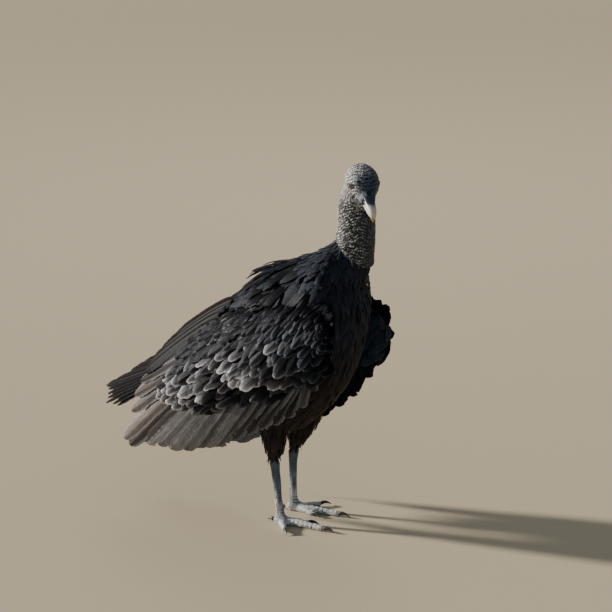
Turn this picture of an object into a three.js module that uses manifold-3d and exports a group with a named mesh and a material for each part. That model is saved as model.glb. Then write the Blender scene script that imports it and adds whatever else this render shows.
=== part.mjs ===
// Black vulture, life size, standing with drooped wings and its head turned to its right.
// Millimetres, +Z up. The bird faces +X and its right side is -Y. The dimensions below are
// laid out from a point on the floor between its feet; the last lines move the whole bird
// so that the origin is under the middle of its box. Every solid reaches out to the tips
// of the feathers.

import * as THREE from 'three';
import { mergeVertices } from 'three/addons/utils/BufferGeometryUtils.js';
import Module from 'manifold-3d';

const wasm = await Module();
wasm.setup();

// ---- Driving dimensions ----------------------------------------------------------------

const PART_GAP = 0.3; // between neighbouring solids
const WELD = 1e-3; // vertices nearer than this are one

const BODY_SIDES = 18; // corners of a body ring
const LIMB_SIDES = 10;
const TOE_SIDES = 8;
const STEPS_PER_STATION = 2;

// Body stations from rump to throat: the point on the back, the point on the belly, both
// in the plane of symmetry, and the half width between them.
const BODY_STATIONS = [
  { back: [-208, 224], belly: [-196, 196], halfWidth: 14 },
  { back: [-170, 262], belly: [-150, 165], halfWidth: 40 },
  { back: [-122, 304], belly: [-95, 134], halfWidth: 57 },
  { back: [-77, 341], belly: [-32, 128], halfWidth: 67 },
  { back: [-30, 379], belly: [28, 142], halfWidth: 74 },
  { back: [16, 402], belly: [78, 184], halfWidth: 77 },
  { back: [46, 415], belly: [112, 240], halfWidth: 74 },
  { back: [66, 426], belly: [127, 300], halfWidth: 66 },
  { back: [78, 434], belly: [130, 345], halfWidth: 52 },
  { back: [86, 441], belly: [132, 378], halfWidth: 38 },
  { back: [91, 447], belly: [143, 402], halfWidth: 29 },
  { back: [92, 470], belly: [147, 438], halfWidth: 28 },
  { back: [93, 496], belly: [147, 474], halfWidth: 27 },
  { back: [98, 516], belly: [145, 504], halfWidth: 24 },
  { back: [108, 528], belly: [140, 520], halfWidth: 17 },
];
const TRUNK_TOP_STATION = 8; // the trunk is parted from the feathered neck base here
const COLLAR_STATION = 10; // the bare neck starts here
const CUT_REACH = 150; // size of the thin square that parts them

const HEAD_CENTRE = new THREE.Vector3(131, -2, 527);
const HEAD_YAW = THREE.MathUtils.degToRad(-45); // turned to the bird's right
const HEAD_PITCH = THREE.MathUtils.degToRad(31); // bill down

// Skull stations along the head's own axis: place, half width, rise and fall.
const HEAD_STATIONS = [
  { at: -34, halfWidth: 6, rise: 6, fall: 6 },
  { at: -30, halfWidth: 14, rise: 14, fall: 14 },
  { at: -20, halfWidth: 21.5, rise: 21, fall: 20 },
  { at: -6, halfWidth: 25, rise: 24.5, fall: 23 },
  { at: 7, halfWidth: 23.5, rise: 22.5, fall: 21.5 },
  { at: 17, halfWidth: 18, rise: 17.5, fall: 19 },
  { at: 26, halfWidth: 12.5, rise: 12, fall: 14 },
  { at: 33, halfWidth: 9.5, rise: 9.5, fall: 10 },
];

// Bill stations: place, half width, and the heights of its upper and lower edges.
const UPPER_BILL_STATIONS = [
  { at: 33 + PART_GAP, halfWidth: 9, top: 9.2, bottom: -3.2 },
  { at: 44, halfWidth: 7.6, top: 7.8, bottom: -3.6 },
  { at: 55, halfWidth: 6.6, top: 7.4, bottom: -4 },
  { at: 63, halfWidth: 5.4, top: 5, bottom: -5 },
  { at: 68, halfWidth: 3.8, top: 1, bottom: -7.5 },
  { at: 69.5, halfWidth: 1.6, top: -5, bottom: -10.5 },
];
const LOWER_BILL_STATIONS = [
  { at: 33 + PART_GAP, halfWidth: 7.6, top: -3.6, bottom: -9.6 },
  { at: 46, halfWidth: 6, top: -4, bottom: -9.2 },
  { at: 57, halfWidth: 4.4, top: -4.5, bottom: -8.6 },
  { at: 64, halfWidth: 2, top: -6.4, bottom: -8.2 },
];

const EYE_RADIUS = 6;
const EYE_PLACE = { ahead: 8, aside: 20.5, above: 6 };

// A wing lies on a bulging sheet. Its distance from the plane of symmetry is greatest on a
// ridge that falls from the wrist to the wing's tip.
const SHEET_REACH = 100;
const SHEET_WIDEST_X = 20;
const SHEET_BEND_ALONG = 0.0006;
const RIDGE_HEIGHT = 240;
const RIDGE_SLOPE = 0.48;
const SHEET_BEND_ABOVE = 0.0036;
const SHEET_BEND_BELOW = 0.0032;
const LEFT_WING_DROP = 20; // the left wing hangs lower

// Covert stations from the wrist backwards: place, upper and lower edge, thickness.
const COVERT_STATIONS = [
  { at: 131, top: 312, bottom: 292, thickness: 8 },
  { at: 124, top: 328, bottom: 272, thickness: 15 },
  { at: 108, top: 343, bottom: 250, thickness: 20 },
  { at: 80, top: 350, bottom: 238, thickness: 22 },
  { at: 40, top: 350, bottom: 234, thickness: 22 },
  { at: -10, top: 341, bottom: 230, thickness: 20 },
  { at: -60, top: 322, bottom: 215, thickness: 18 },
  { at: -110, top: 301, bottom: 186, thickness: 15 },
  { at: -155, top: 272, bottom: 176, thickness: 10 },
  { at: -185, top: 240, bottom: 185, thickness: 6 },
];
const COVERT_ROWS = 7;

// A feather of a fan is drawn by lines at these shares of its width, each with these steps.
const FEATHER_LINES = [0.05, 0.3, 0.7, 0.95];
const FEATHER_STEPS = [0, 0.35, 0.7, 1];

// Shares and sizes that round off the legs, claws and covert pads.
const LIMB_FLATTENING = 0.9; // depth of a limb as a share of its width
const TOE_ROOT_SWELL = 1.05;
const TOE_TAPER = 0.3;
const TOE_KNUCKLES = 2;
const FOOT_PAD = { radius: 10, length: 1.1, height: 0.9, above: 4, rows: 8 };
const FLOOR_BLOCK = { width: 60, depth: 20 };
const CLAW_ROOT_HEIGHT = 0.42; // as a share of the toe's girth
const CLAW_ROOT_RADIUS = 2.9;
const CLAW_TIP_RADIUS = 0.35;
const CLAW_TAPER = 0.7;
const CLAW_ARCH = 1.6;
const CLAW_NARROWNESS = 0.8;
const USUAL_GIRTH = 11; // the toe girth that CLAW_LENGTH belongs to
const PAD_EDGE_HALF = 1; // half the thickness of a covert pad at its edges
const PAD_FULLNESS = 4;

// Flight feathers fan from the roots to the tips, given as [x, z] from the innermost
// feather over the rump to the outermost one at the wrist.
const FLIGHT_ROOTS = [[-95, 291], [-95, 250], [-62, 236], [0, 240], [60, 246], [92, 262]];
const FLIGHT_TIPS = [
  [-208, 219], [-226, 187], [-238, 150], [-251, 91], [-221, 100], [-193, 102], [-158, 100],
  [-127, 103], [-93, 118], [-55, 134], [-20, 150], [20, 168], [62, 196], [100, 240],
];
const FLIGHT_COUNT = 16;
const FLIGHT_HALF_WIDTH = 12;
const FLIGHT_THICKNESS = 3;
const FLIGHT_DEPTH = 6; // below the sheet

const TAIL_ROOT = new THREE.Vector3(-160, 0, 222);
const TAIL_PITCH = THREE.MathUtils.degToRad(25);
const TAIL_ROLL = THREE.MathUtils.degToRad(27);
const TAIL_LENGTH = 178;
const TAIL_SPREAD = THREE.MathUtils.degToRad(32);
const TAIL_NEAR_SHORTENING = 0.26;
const TAIL_COUNT = 12;
const TAIL_HALF_WIDTH = 7;
const TAIL_THICKNESS = 3;
const TAIL_ROOT_HALF_WIDTH = 12;
const TAIL_CROWN = 5; // the middle feathers lie this much above the outer ones

// Each leg: the ankle, the middle of the foot and the top of the feathered thigh.
const LEGS = {
  right: { ankle: [0, -33, 94], foot: [10, -33], thighTop: [2, -40, 190] },
  left: { ankle: [-7, 33, 94], foot: [-6, 33], thighTop: [26, 38, 190] },
};
const THIGH_RADII = [9.5, 16, 23, 27, 27];
const SHANK_RADII = [8.6, 7, 6.2, 6.6, 8];
const SHANK_FOOT_HEIGHT = 6;

// Toes as [direction in degrees from +X, length, thickness], for a right foot.
const TOES = {
  inner: { angle: 18, length: 45, girth: 11 },
  middle: { angle: -3, length: 79, girth: 12.5 },
  outer: { angle: -52, length: 46, girth: 12 },
  hind: { angle: 168, length: 16, girth: 8 },
};
const TOE_START = 2;
const TOE_STEPS = 5;
const KNUCKLE_SWELL = 0.1;
const SOLE_FLATTENING = 0.55;
const CLAW_LENGTH = 15;
const CLAW_CLEARANCE = 0.6;
const CLAW_STEPS = 4;
const CLAW_SIDES = 6;

// ---- Materials -------------------------------------------------------------------------

function material(color, roughness) {
  return new THREE.MeshStandardMaterial({ color, roughness, metalness: 0 });
}

const PLUMAGE = material(0x17151a, 0.7);
const FLIGHT_FEATHER = material(0x3a3634, 0.6);
const BARE_SKIN = material(0x55565a, 0.75);
const HORN = material(0xd8d2c0, 0.4);
const EYE = material(0x1c0f0a, 0.1);
const LEG_SKIN = material(0xb9bcb8, 0.8);
const CLAW = material(0x2b2724, 0.5);

// ---- Solids ----------------------------------------------------------------------------

// Closes a row of equal rings of points into one body, with a fan over each end.
function loft(rings) {
  const sides = rings[0].length;
  const middle = (ring) => ring
    .reduce((sum, point) => sum.add(point), new THREE.Vector3())
    .divideScalar(ring.length);
  const points = [...rings.flat(), middle(rings[0]), middle(rings[rings.length - 1])];
  const firstMiddle = points.length - 2;
  const lastMiddle = points.length - 1;
  const triangles = [];
  for (let side = 0; side < sides; side += 1) {
    const next = (side + 1) % sides;
    for (let ring = 0; ring < rings.length - 1; ring += 1) {
      const low = ring * sides;
      const high = low + sides;
      triangles.push(low + side, low + next, high + next);
      triangles.push(low + side, high + next, high + side);
    }
    const last = (rings.length - 1) * sides;
    triangles.push(firstMiddle, next, side);
    triangles.push(lastMiddle, last + side, last + next);
  }
  const geometry = new THREE.BufferGeometry().setFromPoints(points);
  geometry.setIndex(triangles);
  return solidOf(geometry);
}

function solidOf(geometry) {
  geometry.deleteAttribute('normal');
  geometry.deleteAttribute('uv');
  const welded = mergeVertices(geometry, WELD);
  const index = Uint32Array.from(welded.index.array);
  if (signedVolume(welded) < 0) {
    index.reverse();
  }
  return new wasm.Manifold(new wasm.Mesh({
    numProp: 3,
    vertProperties: Float32Array.from(welded.attributes.position.array),
    triVerts: index,
  }));
}

function signedVolume(geometry) {
  const corner = (i) => new THREE.Vector3()
    .fromBufferAttribute(geometry.attributes.position, geometry.index.getX(i));
  let volume = 0;
  for (let i = 0; i < geometry.index.count; i += 3) {
    volume += corner(i).dot(corner(i + 1).cross(corner(i + 2))) / 6;
  }
  return volume;
}

function unite(solids) {
  return solids.reduce((whole, solid) => whole.add(solid));
}

function cutBy(solid, ...tools) {
  return largestBody(tools.reduce((rest, tool) => rest.subtract(tool), solid));
}

function largestBody(solid) {
  const bodies = solid.decompose();
  return bodies.reduce((best, body) => (body.volume() > best.volume() ? body : best));
}

function meshOf(name, solid, look) {
  const { vertProperties, triVerts } = solid.getMesh();
  const geometry = new THREE.BufferGeometry();
  geometry.setAttribute('position', new THREE.BufferAttribute(vertProperties, 3));
  geometry.setIndex(new THREE.BufferAttribute(triVerts, 1));
  geometry.computeVertexNormals();
  const mesh = new THREE.Mesh(geometry, look);
  mesh.name = name;
  return mesh;
}

// ---- Curves through stations -----------------------------------------------------------

// A smooth value at place t, counted in stations, along a row of numbers.
function smooth(values, t) {
  const last = values.length - 1;
  const i = Math.min(Math.floor(t), last - 1);
  const pick = (k) => values[Math.min(Math.max(k, 0), last)];
  const f = t - i;
  const [a, b, c, d] = [pick(i - 1), pick(i), pick(i + 1), pick(i + 2)];
  return b + 0.5 * f * (c - a + f * (2 * a - 5 * b + 4 * c - d + f * (3 * (b - c) + d - a)));
}

function smoothPoint(points, share) {
  const t = share * (points.length - 1);
  return points[0].map((_, axis) => smooth(points.map((point) => point[axis]), t));
}

function oval(centre, across, upward, halfWidth, rise, fall, sides) {
  return Array.from({ length: sides }, (_, i) => {
    const angle = (2 * Math.PI * i) / sides;
    const height = Math.sin(angle) * (Math.sin(angle) > 0 ? rise : fall);
    return centre.clone()
      .addScaledVector(across, Math.cos(angle) * halfWidth)
      .addScaledVector(upward, height);
  });
}

// ---- Trunk and neck --------------------------------------------------------------------

function bodyWhole(grow) {
  const across = new THREE.Vector3(0, 1, 0);
  const columns = {
    backX: BODY_STATIONS.map((station) => station.back[0]),
    backZ: BODY_STATIONS.map((station) => station.back[1]),
    bellyX: BODY_STATIONS.map((station) => station.belly[0]),
    bellyZ: BODY_STATIONS.map((station) => station.belly[1]),
    halfWidth: BODY_STATIONS.map((station) => station.halfWidth),
  };
  const rings = [];
  const steps = (BODY_STATIONS.length - 1) * STEPS_PER_STATION;
  for (let step = 0; step <= steps; step += 1) {
    const t = step / STEPS_PER_STATION;
    const back = new THREE.Vector3(smooth(columns.backX, t), 0, smooth(columns.backZ, t));
    const belly = new THREE.Vector3(smooth(columns.bellyX, t), 0, smooth(columns.bellyZ, t));
    const height = back.distanceTo(belly) / 2 + grow;
    const upward = back.clone().sub(belly).normalize();
    const centre = back.clone().add(belly).divideScalar(2);
    const halfWidth = smooth(columns.halfWidth, t) + grow;
    rings.push(oval(centre, across, upward, halfWidth, height, height, BODY_SIDES));
  }
  return loft(rings);
}

// A thin square plate in the plane of one body station.
function stationCut(stationIndex) {
  const { back, belly } = BODY_STATIONS[stationIndex];
  const plate = new THREE.BoxGeometry(CUT_REACH, CUT_REACH, PART_GAP);
  plate.rotateY(-Math.atan2(back[1] - belly[1], back[0] - belly[0]));
  plate.translate((back[0] + belly[0]) / 2, 0, (back[1] + belly[1]) / 2);
  return solidOf(plate);
}

function bodyParts(cutters) {
  const whole = [...cutters, stationCut(TRUNK_TOP_STATION), stationCut(COLLAR_STATION)]
    .reduce((rest, tool) => rest.subtract(tool), bodyWhole(0));
  const heightOf = (solid) => solid.boundingBox().min[2];
  const pieces = whole.decompose()
    .sort((a, b) => b.volume() - a.volume())
    .slice(0, 3)
    .sort((a, b) => heightOf(a) - heightOf(b));
  return { trunk: pieces[0], neckBase: pieces[1], neck: pieces[2] };
}

// ---- Head ------------------------------------------------------------------------------

const headAhead = new THREE.Vector3(
  Math.cos(HEAD_PITCH) * Math.cos(HEAD_YAW),
  Math.cos(HEAD_PITCH) * Math.sin(HEAD_YAW),
  -Math.sin(HEAD_PITCH),
);
const headLeft = new THREE.Vector3(-Math.sin(HEAD_YAW), Math.cos(HEAD_YAW), 0);
const headUp = headAhead.clone().cross(headLeft);

function headPoint(ahead, left, above) {
  return HEAD_CENTRE.clone()
    .addScaledVector(headAhead, ahead)
    .addScaledVector(headLeft, left)
    .addScaledVector(headUp, above);
}

function headSolid(grow) {
  const column = (key) => HEAD_STATIONS.map((station) => station[key]);
  const rings = [];
  const steps = (HEAD_STATIONS.length - 1) * STEPS_PER_STATION;
  for (let step = 0; step <= steps; step += 1) {
    const t = step / STEPS_PER_STATION;
    rings.push(oval(
      headPoint(smooth(column('at'), t), 0, 0),
      headLeft,
      headUp,
      smooth(column('halfWidth'), t) + grow,
      smooth(column('rise'), t) + grow,
      smooth(column('fall'), t) + grow,
      BODY_SIDES,
    ));
  }
  return loft(rings);
}

function billSolid(stations) {
  return loft(stations.map(({ at, halfWidth, top, bottom }) => {
    const halfHeight = (top - bottom) / 2;
    const centre = headPoint(at, 0, (top + bottom) / 2);
    return oval(centre, headLeft, headUp, halfWidth, halfHeight, halfHeight, LIMB_SIDES);
  }));
}

function eyeSolid(side, grow) {
  const sphere = new THREE.SphereGeometry(EYE_RADIUS + grow, 12, 8);
  const place = headPoint(EYE_PLACE.ahead, side * EYE_PLACE.aside, EYE_PLACE.above);
  sphere.translate(place.x, place.y, place.z);
  return solidOf(sphere);
}

// ---- Wings -----------------------------------------------------------------------------

// Distance of the wing sheet from the plane of symmetry at a place in side view.
function sheetReach(x, z) {
  const above = z - RIDGE_HEIGHT - RIDGE_SLOPE * x;
  const bend = above > 0 ? SHEET_BEND_ABOVE : SHEET_BEND_BELOW;
  return SHEET_REACH - SHEET_BEND_ALONG * (x - SHEET_WIDEST_X) ** 2 - bend * above ** 2;
}

// A point on a wing, given in side view, at a depth below the sheet. side is +1 for left.
function wingPoint(side, x, z, depth) {
  const drop = side > 0 ? LEFT_WING_DROP : 0;
  return new THREE.Vector3(x, side * (sheetReach(x, z) - depth), z - drop);
}

function covertSolid(side, grow) {
  const rings = COVERT_STATIONS.map(({ at, top, bottom, thickness }) => {
    const outer = [];
    const inner = [];
    for (let row = 0; row <= COVERT_ROWS; row += 1) {
      const share = row / COVERT_ROWS;
      const z = top + grow - share * (top - bottom + 2 * grow);
      const fullness = Math.sqrt(Math.max(0, 1 - (2 * share - 1) ** PAD_FULLNESS));
      const half = PAD_EDGE_HALF + (thickness / 2) * fullness + grow;
      outer.push(wingPoint(side, at, z, thickness / 2 - half));
      inner.unshift(wingPoint(side, at, z, thickness / 2 + half));
    }
    return [...outer, ...inner];
  });
  return loft(rings);
}

// A fan of overlapping feathers as one plate. drawLine turns a share of the fan, a
// shortening of the tip and a height into the points of one line from root to tip.
function fanPlate(count, halfWidth, thickness, drawLine) {
  const lines = [];
  for (let feather = 0; feather < count; feather += 1) {
    for (const across of FEATHER_LINES) {
      const fromMiddle = 2 * across - 1;
      const shortening = halfWidth * (1 - Math.sqrt(1 - fromMiddle ** 2));
      const lap = (thickness / 3) * fromMiddle;
      const share = (feather + across) / count;
      const outer = drawLine(share, shortening, lap + thickness / 2);
      const inner = drawLine(share, shortening, lap - thickness / 2);
      lines.push([...outer, ...inner.reverse()]);
    }
  }
  return loft(lines);
}

function flightSolid(side) {
  const drawLine = (share, shortening, height) => {
    const [rootX, rootZ] = smoothPoint(FLIGHT_ROOTS, share);
    const [tipX, tipZ] = smoothPoint(FLIGHT_TIPS, share);
    const reach = 1 - shortening / Math.hypot(tipX - rootX, tipZ - rootZ);
    return FEATHER_STEPS.map((step) => wingPoint(
      side,
      rootX + (tipX - rootX) * step * reach,
      rootZ + (tipZ - rootZ) * step * reach,
      FLIGHT_DEPTH - height,
    ));
  };
  return fanPlate(FLIGHT_COUNT, FLIGHT_HALF_WIDTH, FLIGHT_THICKNESS, drawLine);
}

// ---- Tail ------------------------------------------------------------------------------

function tailSolid() {
  const back = new THREE.Vector3(-Math.cos(TAIL_PITCH), 0, -Math.sin(TAIL_PITCH));
  const left = new THREE.Vector3(0, Math.cos(TAIL_ROLL), Math.sin(TAIL_ROLL));
  const up = left.clone().cross(back).normalize();
  const drawLine = (share, shortening, height) => {
    const aside = 2 * share - 1;
    const angle = (aside * TAIL_SPREAD) / 2;
    const crown = TAIL_CROWN * (1 - aside ** 2);
    const nearShare = 1 - TAIL_NEAR_SHORTENING * Math.max(0, -aside) ** 2;
    const length = TAIL_LENGTH * nearShare - shortening;
    return FEATHER_STEPS.map((step) => TAIL_ROOT.clone()
      .addScaledVector(back, step * length * Math.cos(angle))
      .addScaledVector(left, step * length * Math.sin(angle) + aside * TAIL_ROOT_HALF_WIDTH)
      .addScaledVector(up, height + crown));
  };
  return fanPlate(TAIL_COUNT, TAIL_HALF_WIDTH, TAIL_THICKNESS, drawLine);
}

// ---- Legs ------------------------------------------------------------------------------

function limb(start, end, radii, grow) {
  const axis = end.clone().sub(start);
  const across = new THREE.Vector3(0, 1, 0).cross(axis).normalize();
  const sideways = axis.clone().cross(across).normalize();
  return loft(radii.map((radius, i) => {
    const centre = start.clone().addScaledVector(axis, i / (radii.length - 1));
    const size = radius + grow;
    const depth = size * LIMB_FLATTENING;
    return oval(centre, across, sideways, size, depth, depth, LIMB_SIDES);
  }));
}

function thighSolid(leg, grow) {
  const ankle = new THREE.Vector3(...leg.ankle);
  return limb(ankle, new THREE.Vector3(...leg.thighTop), THIGH_RADII, grow);
}

function shankSolid(leg) {
  const ankle = new THREE.Vector3(...leg.ankle);
  const foot = new THREE.Vector3(...leg.foot, SHANK_FOOT_HEIGHT);
  const top = ankle.clone().addScaledVector(foot.clone().sub(ankle).normalize(), PART_GAP);
  return limb(top, foot, SHANK_RADII, 0);
}

// A ring of a toe, flat where it stands on the floor.
function toeRing(centre, sideways, girth, grow) {
  return Array.from({ length: TOE_SIDES }, (_, i) => {
    const angle = (2 * Math.PI * (i + 0.5)) / TOE_SIDES;
    const rise = (Math.sin(angle) + SOLE_FLATTENING) / (1 + SOLE_FLATTENING);
    const point = centre.clone();
    point.addScaledVector(sideways, Math.cos(angle) * (girth / 2 + grow));
    point.z = Math.max(-grow, rise * (girth + grow));
    return point;
  });
}

function toeDirection(side, angleInDegrees) {
  const angle = -side * THREE.MathUtils.degToRad(angleInDegrees);
  return new THREE.Vector3(Math.cos(angle), Math.sin(angle), 0);
}

function toeSolid(leg, side, toe, grow) {
  const along = toeDirection(side, toe.angle);
  const sideways = new THREE.Vector3(-along.y, along.x, 0);
  const rings = [];
  for (let step = 0; step <= TOE_STEPS; step += 1) {
    const share = step / TOE_STEPS;
    const knuckle = 1 + KNUCKLE_SWELL * Math.cos(share * 2 * Math.PI * TOE_KNUCKLES);
    const girth = toe.girth * (TOE_ROOT_SWELL - TOE_TAPER * share) * knuckle;
    const centre = new THREE.Vector3(...leg.foot, 0)
      .addScaledVector(along, TOE_START + share * (toe.length - TOE_START));
    rings.push(toeRing(centre, sideways, girth, grow));
  }
  return loft(rings);
}

function footSolid(leg, side, grow) {
  const pad = new THREE.SphereGeometry(FOOT_PAD.radius + grow, LIMB_SIDES, FOOT_PAD.rows);
  pad.scale(FOOT_PAD.length, 1, FOOT_PAD.height);
  pad.translate(...leg.foot, FOOT_PAD.above);
  const floor = new THREE.BoxGeometry(FLOOR_BLOCK.width, FLOOR_BLOCK.width, FLOOR_BLOCK.depth);
  floor.translate(...leg.foot, -FLOOR_BLOCK.depth / 2 - grow);
  const toes = Object.values(TOES).map((toe) => toeSolid(leg, side, toe, grow));
  return unite([...toes, solidOf(pad)]).subtract(solidOf(floor));
}

// A claw curves down from the end of its toe to just above the floor.
function clawSolid(leg, side, toe) {
  const along = toeDirection(side, toe.angle);
  const sideways = new THREE.Vector3(-along.y, along.x, 0);
  const up = new THREE.Vector3(0, 0, 1);
  const rootHeight = toe.girth * CLAW_ROOT_HEIGHT;
  const rings = [];
  for (let step = 0; step <= CLAW_STEPS; step += 1) {
    const share = step / CLAW_STEPS;
    const radius = CLAW_ROOT_RADIUS * (1 - share) ** CLAW_TAPER + CLAW_TIP_RADIUS;
    const bend = share ** 2 * (rootHeight - CLAW_CLEARANCE - CLAW_TIP_RADIUS);
    const arch = CLAW_ARCH * Math.sin(Math.PI * share);
    const ahead = toe.length + PART_GAP + (share * CLAW_LENGTH * toe.girth) / USUAL_GIRTH;
    const centre = new THREE.Vector3(...leg.foot, rootHeight - bend + arch)
      .addScaledVector(along, ahead);
    const half = radius * CLAW_NARROWNESS;
    rings.push(oval(centre, sideways, up, half, radius, radius, CLAW_SIDES));
  }
  return loft(rings);
}

// ---- The bird --------------------------------------------------------------------------

const SIDES = { right: -1, left: 1 };

const bird = new THREE.Group();

function addPart(name, solid, look) {
  bird.add(meshOf(name, solid, look));
}

const eyes = Object.values(SIDES).map((side) => eyeSolid(side, PART_GAP));
addPart('head', cutBy(headSolid(0), ...eyes), BARE_SKIN);
addPart('bill_upper', billSolid(UPPER_BILL_STATIONS), HORN);
addPart('bill_lower', billSolid(LOWER_BILL_STATIONS), HORN);

const { trunk, neckBase, neck } = bodyParts([headSolid(PART_GAP)]);
addPart('trunk', trunk, PLUMAGE);
addPart('neck_base', neckBase, PLUMAGE);
addPart('neck', neck, BARE_SKIN);

const bodySpace = bodyWhole(PART_GAP);
addPart('tail', cutBy(tailSolid(), bodySpace), FLIGHT_FEATHER);

for (const [sideName, side] of Object.entries(SIDES)) {
  const leg = LEGS[sideName];
  addPart(`eye_${sideName}`, eyeSolid(side, 0), EYE);

  addPart(`thigh_${sideName}`, cutBy(thighSolid(leg, 0), bodySpace), PLUMAGE);
  const thighSpace = thighSolid(leg, PART_GAP);
  const footSpace = footSolid(leg, side, PART_GAP);
  addPart(`shank_${sideName}`, cutBy(shankSolid(leg), thighSpace, footSpace), LEG_SKIN);
  addPart(`foot_${sideName}`, footSolid(leg, side, 0), LEG_SKIN);
  for (const [toeName, toe] of Object.entries(TOES)) {
    addPart(`claw_${sideName}_${toeName}`, clawSolid(leg, side, toe), CLAW);
  }

  addPart(`wing_coverts_${sideName}`, cutBy(covertSolid(side, 0), bodySpace), PLUMAGE);
  const flight = cutBy(flightSolid(side), bodySpace, thighSpace, covertSolid(side, PART_GAP));
  addPart(`wing_flight_${sideName}`, flight, FLIGHT_FEATHER);
}

// The frame's origin is on the floor under the middle of the bird's bounding box.
const middle = new THREE.Box3().setFromObject(bird).getCenter(new THREE.Vector3());
bird.position.set(-middle.x, -middle.y, 0);

export default bird;
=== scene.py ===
"""Black vulture: one skin, a coat of mesh feathers, bill, eyes and claws, on a pale floor.

Every design dimension below is in millimetres, laid out like the CAD model from a point on
the floor between the feet; place() turns such a point into the frame, in metres.
"""

from itertools import product
import math

import bmesh
import bpy
import numpy as np
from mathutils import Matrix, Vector, noise
from mathutils.bvhtree import BVHTree


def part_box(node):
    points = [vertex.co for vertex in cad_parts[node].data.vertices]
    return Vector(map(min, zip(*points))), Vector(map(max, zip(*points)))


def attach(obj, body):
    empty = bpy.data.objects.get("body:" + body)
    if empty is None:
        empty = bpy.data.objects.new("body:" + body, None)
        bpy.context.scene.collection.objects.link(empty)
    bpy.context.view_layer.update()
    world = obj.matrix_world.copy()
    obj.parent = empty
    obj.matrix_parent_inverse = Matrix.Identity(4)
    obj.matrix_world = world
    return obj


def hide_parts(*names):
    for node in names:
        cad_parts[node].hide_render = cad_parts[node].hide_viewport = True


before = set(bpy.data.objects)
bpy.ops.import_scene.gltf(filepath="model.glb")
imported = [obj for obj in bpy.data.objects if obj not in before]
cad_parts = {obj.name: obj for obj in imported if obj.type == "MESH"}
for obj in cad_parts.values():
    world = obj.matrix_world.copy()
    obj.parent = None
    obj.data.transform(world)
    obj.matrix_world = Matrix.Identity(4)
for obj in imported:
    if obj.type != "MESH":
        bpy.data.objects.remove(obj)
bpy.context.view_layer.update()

MM = 0.001
rng = np.random.default_rng(7)

# ---- Dimensions ------------------------------------------------------------------------

BODY_SPINE = np.array([
    (-202, 210), (-160, 213), (-108, 219), (-54, 235), (-1, 260), (47, 293), (79, 327),
    (96, 363), (104, 389), (109, 409), (117, 424), (119, 454), (120, 485), (122, 520),
], float)  # x, z of the middle of the body from rump to throat
COLLAR_POINT = np.array([117.0, 424.5])
COLLAR_AXIS = np.array([0.654, 0.756])  # along the neck where the bare skin starts
ANKLE_HEIGHT = 95.0

THROAT_TURN = math.radians(50)  # the throat faces this far to the right
HEAD_CENTRE = np.array([131.0, -2.0, 527.0])
HEAD_YAW = math.radians(-45)
HEAD_PITCH = math.radians(31)
HEAD_AHEAD = np.array([
    math.cos(HEAD_PITCH) * math.cos(HEAD_YAW),
    math.cos(HEAD_PITCH) * math.sin(HEAD_YAW),
    -math.sin(HEAD_PITCH),
])
HEAD_LEFT = np.array([-math.sin(HEAD_YAW), math.cos(HEAD_YAW), 0.0])
HEAD_UP = np.cross(HEAD_AHEAD, HEAD_LEFT)
FACE_AHEAD = [7, 17, 26, 33, 37]
FACE_HALF_WIDTH = [23.5, 18, 12.5, 9.8, 9.2]
FACE_RISE = [22.5, 17.5, 12.2, 9.9, 9.2]
FACE_FALL = [21.5, 19, 14, 10.6, 10.0]
EYE_PLACE = (8.0, 20.5, 6.0)  # ahead, aside and above the middle of the head
EYE_AXIS = np.array([0.34, 0.94, 0.0])  # outwards, as ahead, aside and above
EYE_OPENING = 3.5  # half height; the opening is longer than high
LID_RADIUS = 5.9
LID_EDGE = 4.4  # beyond this distance from the eye's axis the lid slopes down evenly
LID_SLOPE = 0.75
EYEBALL_RADIUS = 5.2
EYEBALL_SUNK = 2.7

SHEET_REACH = 100.0
SHEET_WIDEST_X = 20.0
SHEET_BEND_ALONG = 0.0006
RIDGE_HEIGHT = 240.0
RIDGE_SLOPE = 0.48
SHEET_BEND_ABOVE = 0.0036
SHEET_BEND_BELOW = 0.0032
LEFT_WING_DROP = 20.0

COVERT_X = np.array([-185, -155, -110, -60, -10, 40, 80, 108, 124, 131], float)
COVERT_TOP = np.array([240, 272, 301, 322, 341, 350, 350, 343, 328, 312], float)
COVERT_BOTTOM = np.array([185, 176, 186, 215, 230, 234, 238, 250, 272, 292], float)
COVERT_THICKNESS = np.array([6, 10, 15, 18, 20, 22, 22, 20, 15, 8], float)

FLIGHT_ROOTS = np.array([
    (-95, 291), (-95, 250), (-62, 236), (0, 240), (60, 246), (92, 262),
], float)
FLIGHT_TIPS = np.array([
    (-208, 219), (-226, 187), (-238, 150), (-251, 91), (-221, 100), (-193, 102), (-158, 100),
    (-127, 103), (-93, 118), (-55, 134), (-20, 150), (20, 168), (62, 196), (100, 240),
], float)
FLIGHT_DEPTH = 6.0

TAIL_ROOT = np.array([-160.0, 0.0, 222.0])
TAIL_PITCH = math.radians(25)
TAIL_ROLL = math.radians(27)
TAIL_LENGTH = 178.0
TAIL_SPREAD = math.radians(32)
TAIL_NEAR_SHORTENING = 0.26
TAIL_COUNT = 12
TAIL_ROOT_HALF_WIDTH = 12.0
TAIL_FEATHER_HALF_WIDTH = 12.0
TAIL_CROWN = 5.0

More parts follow.
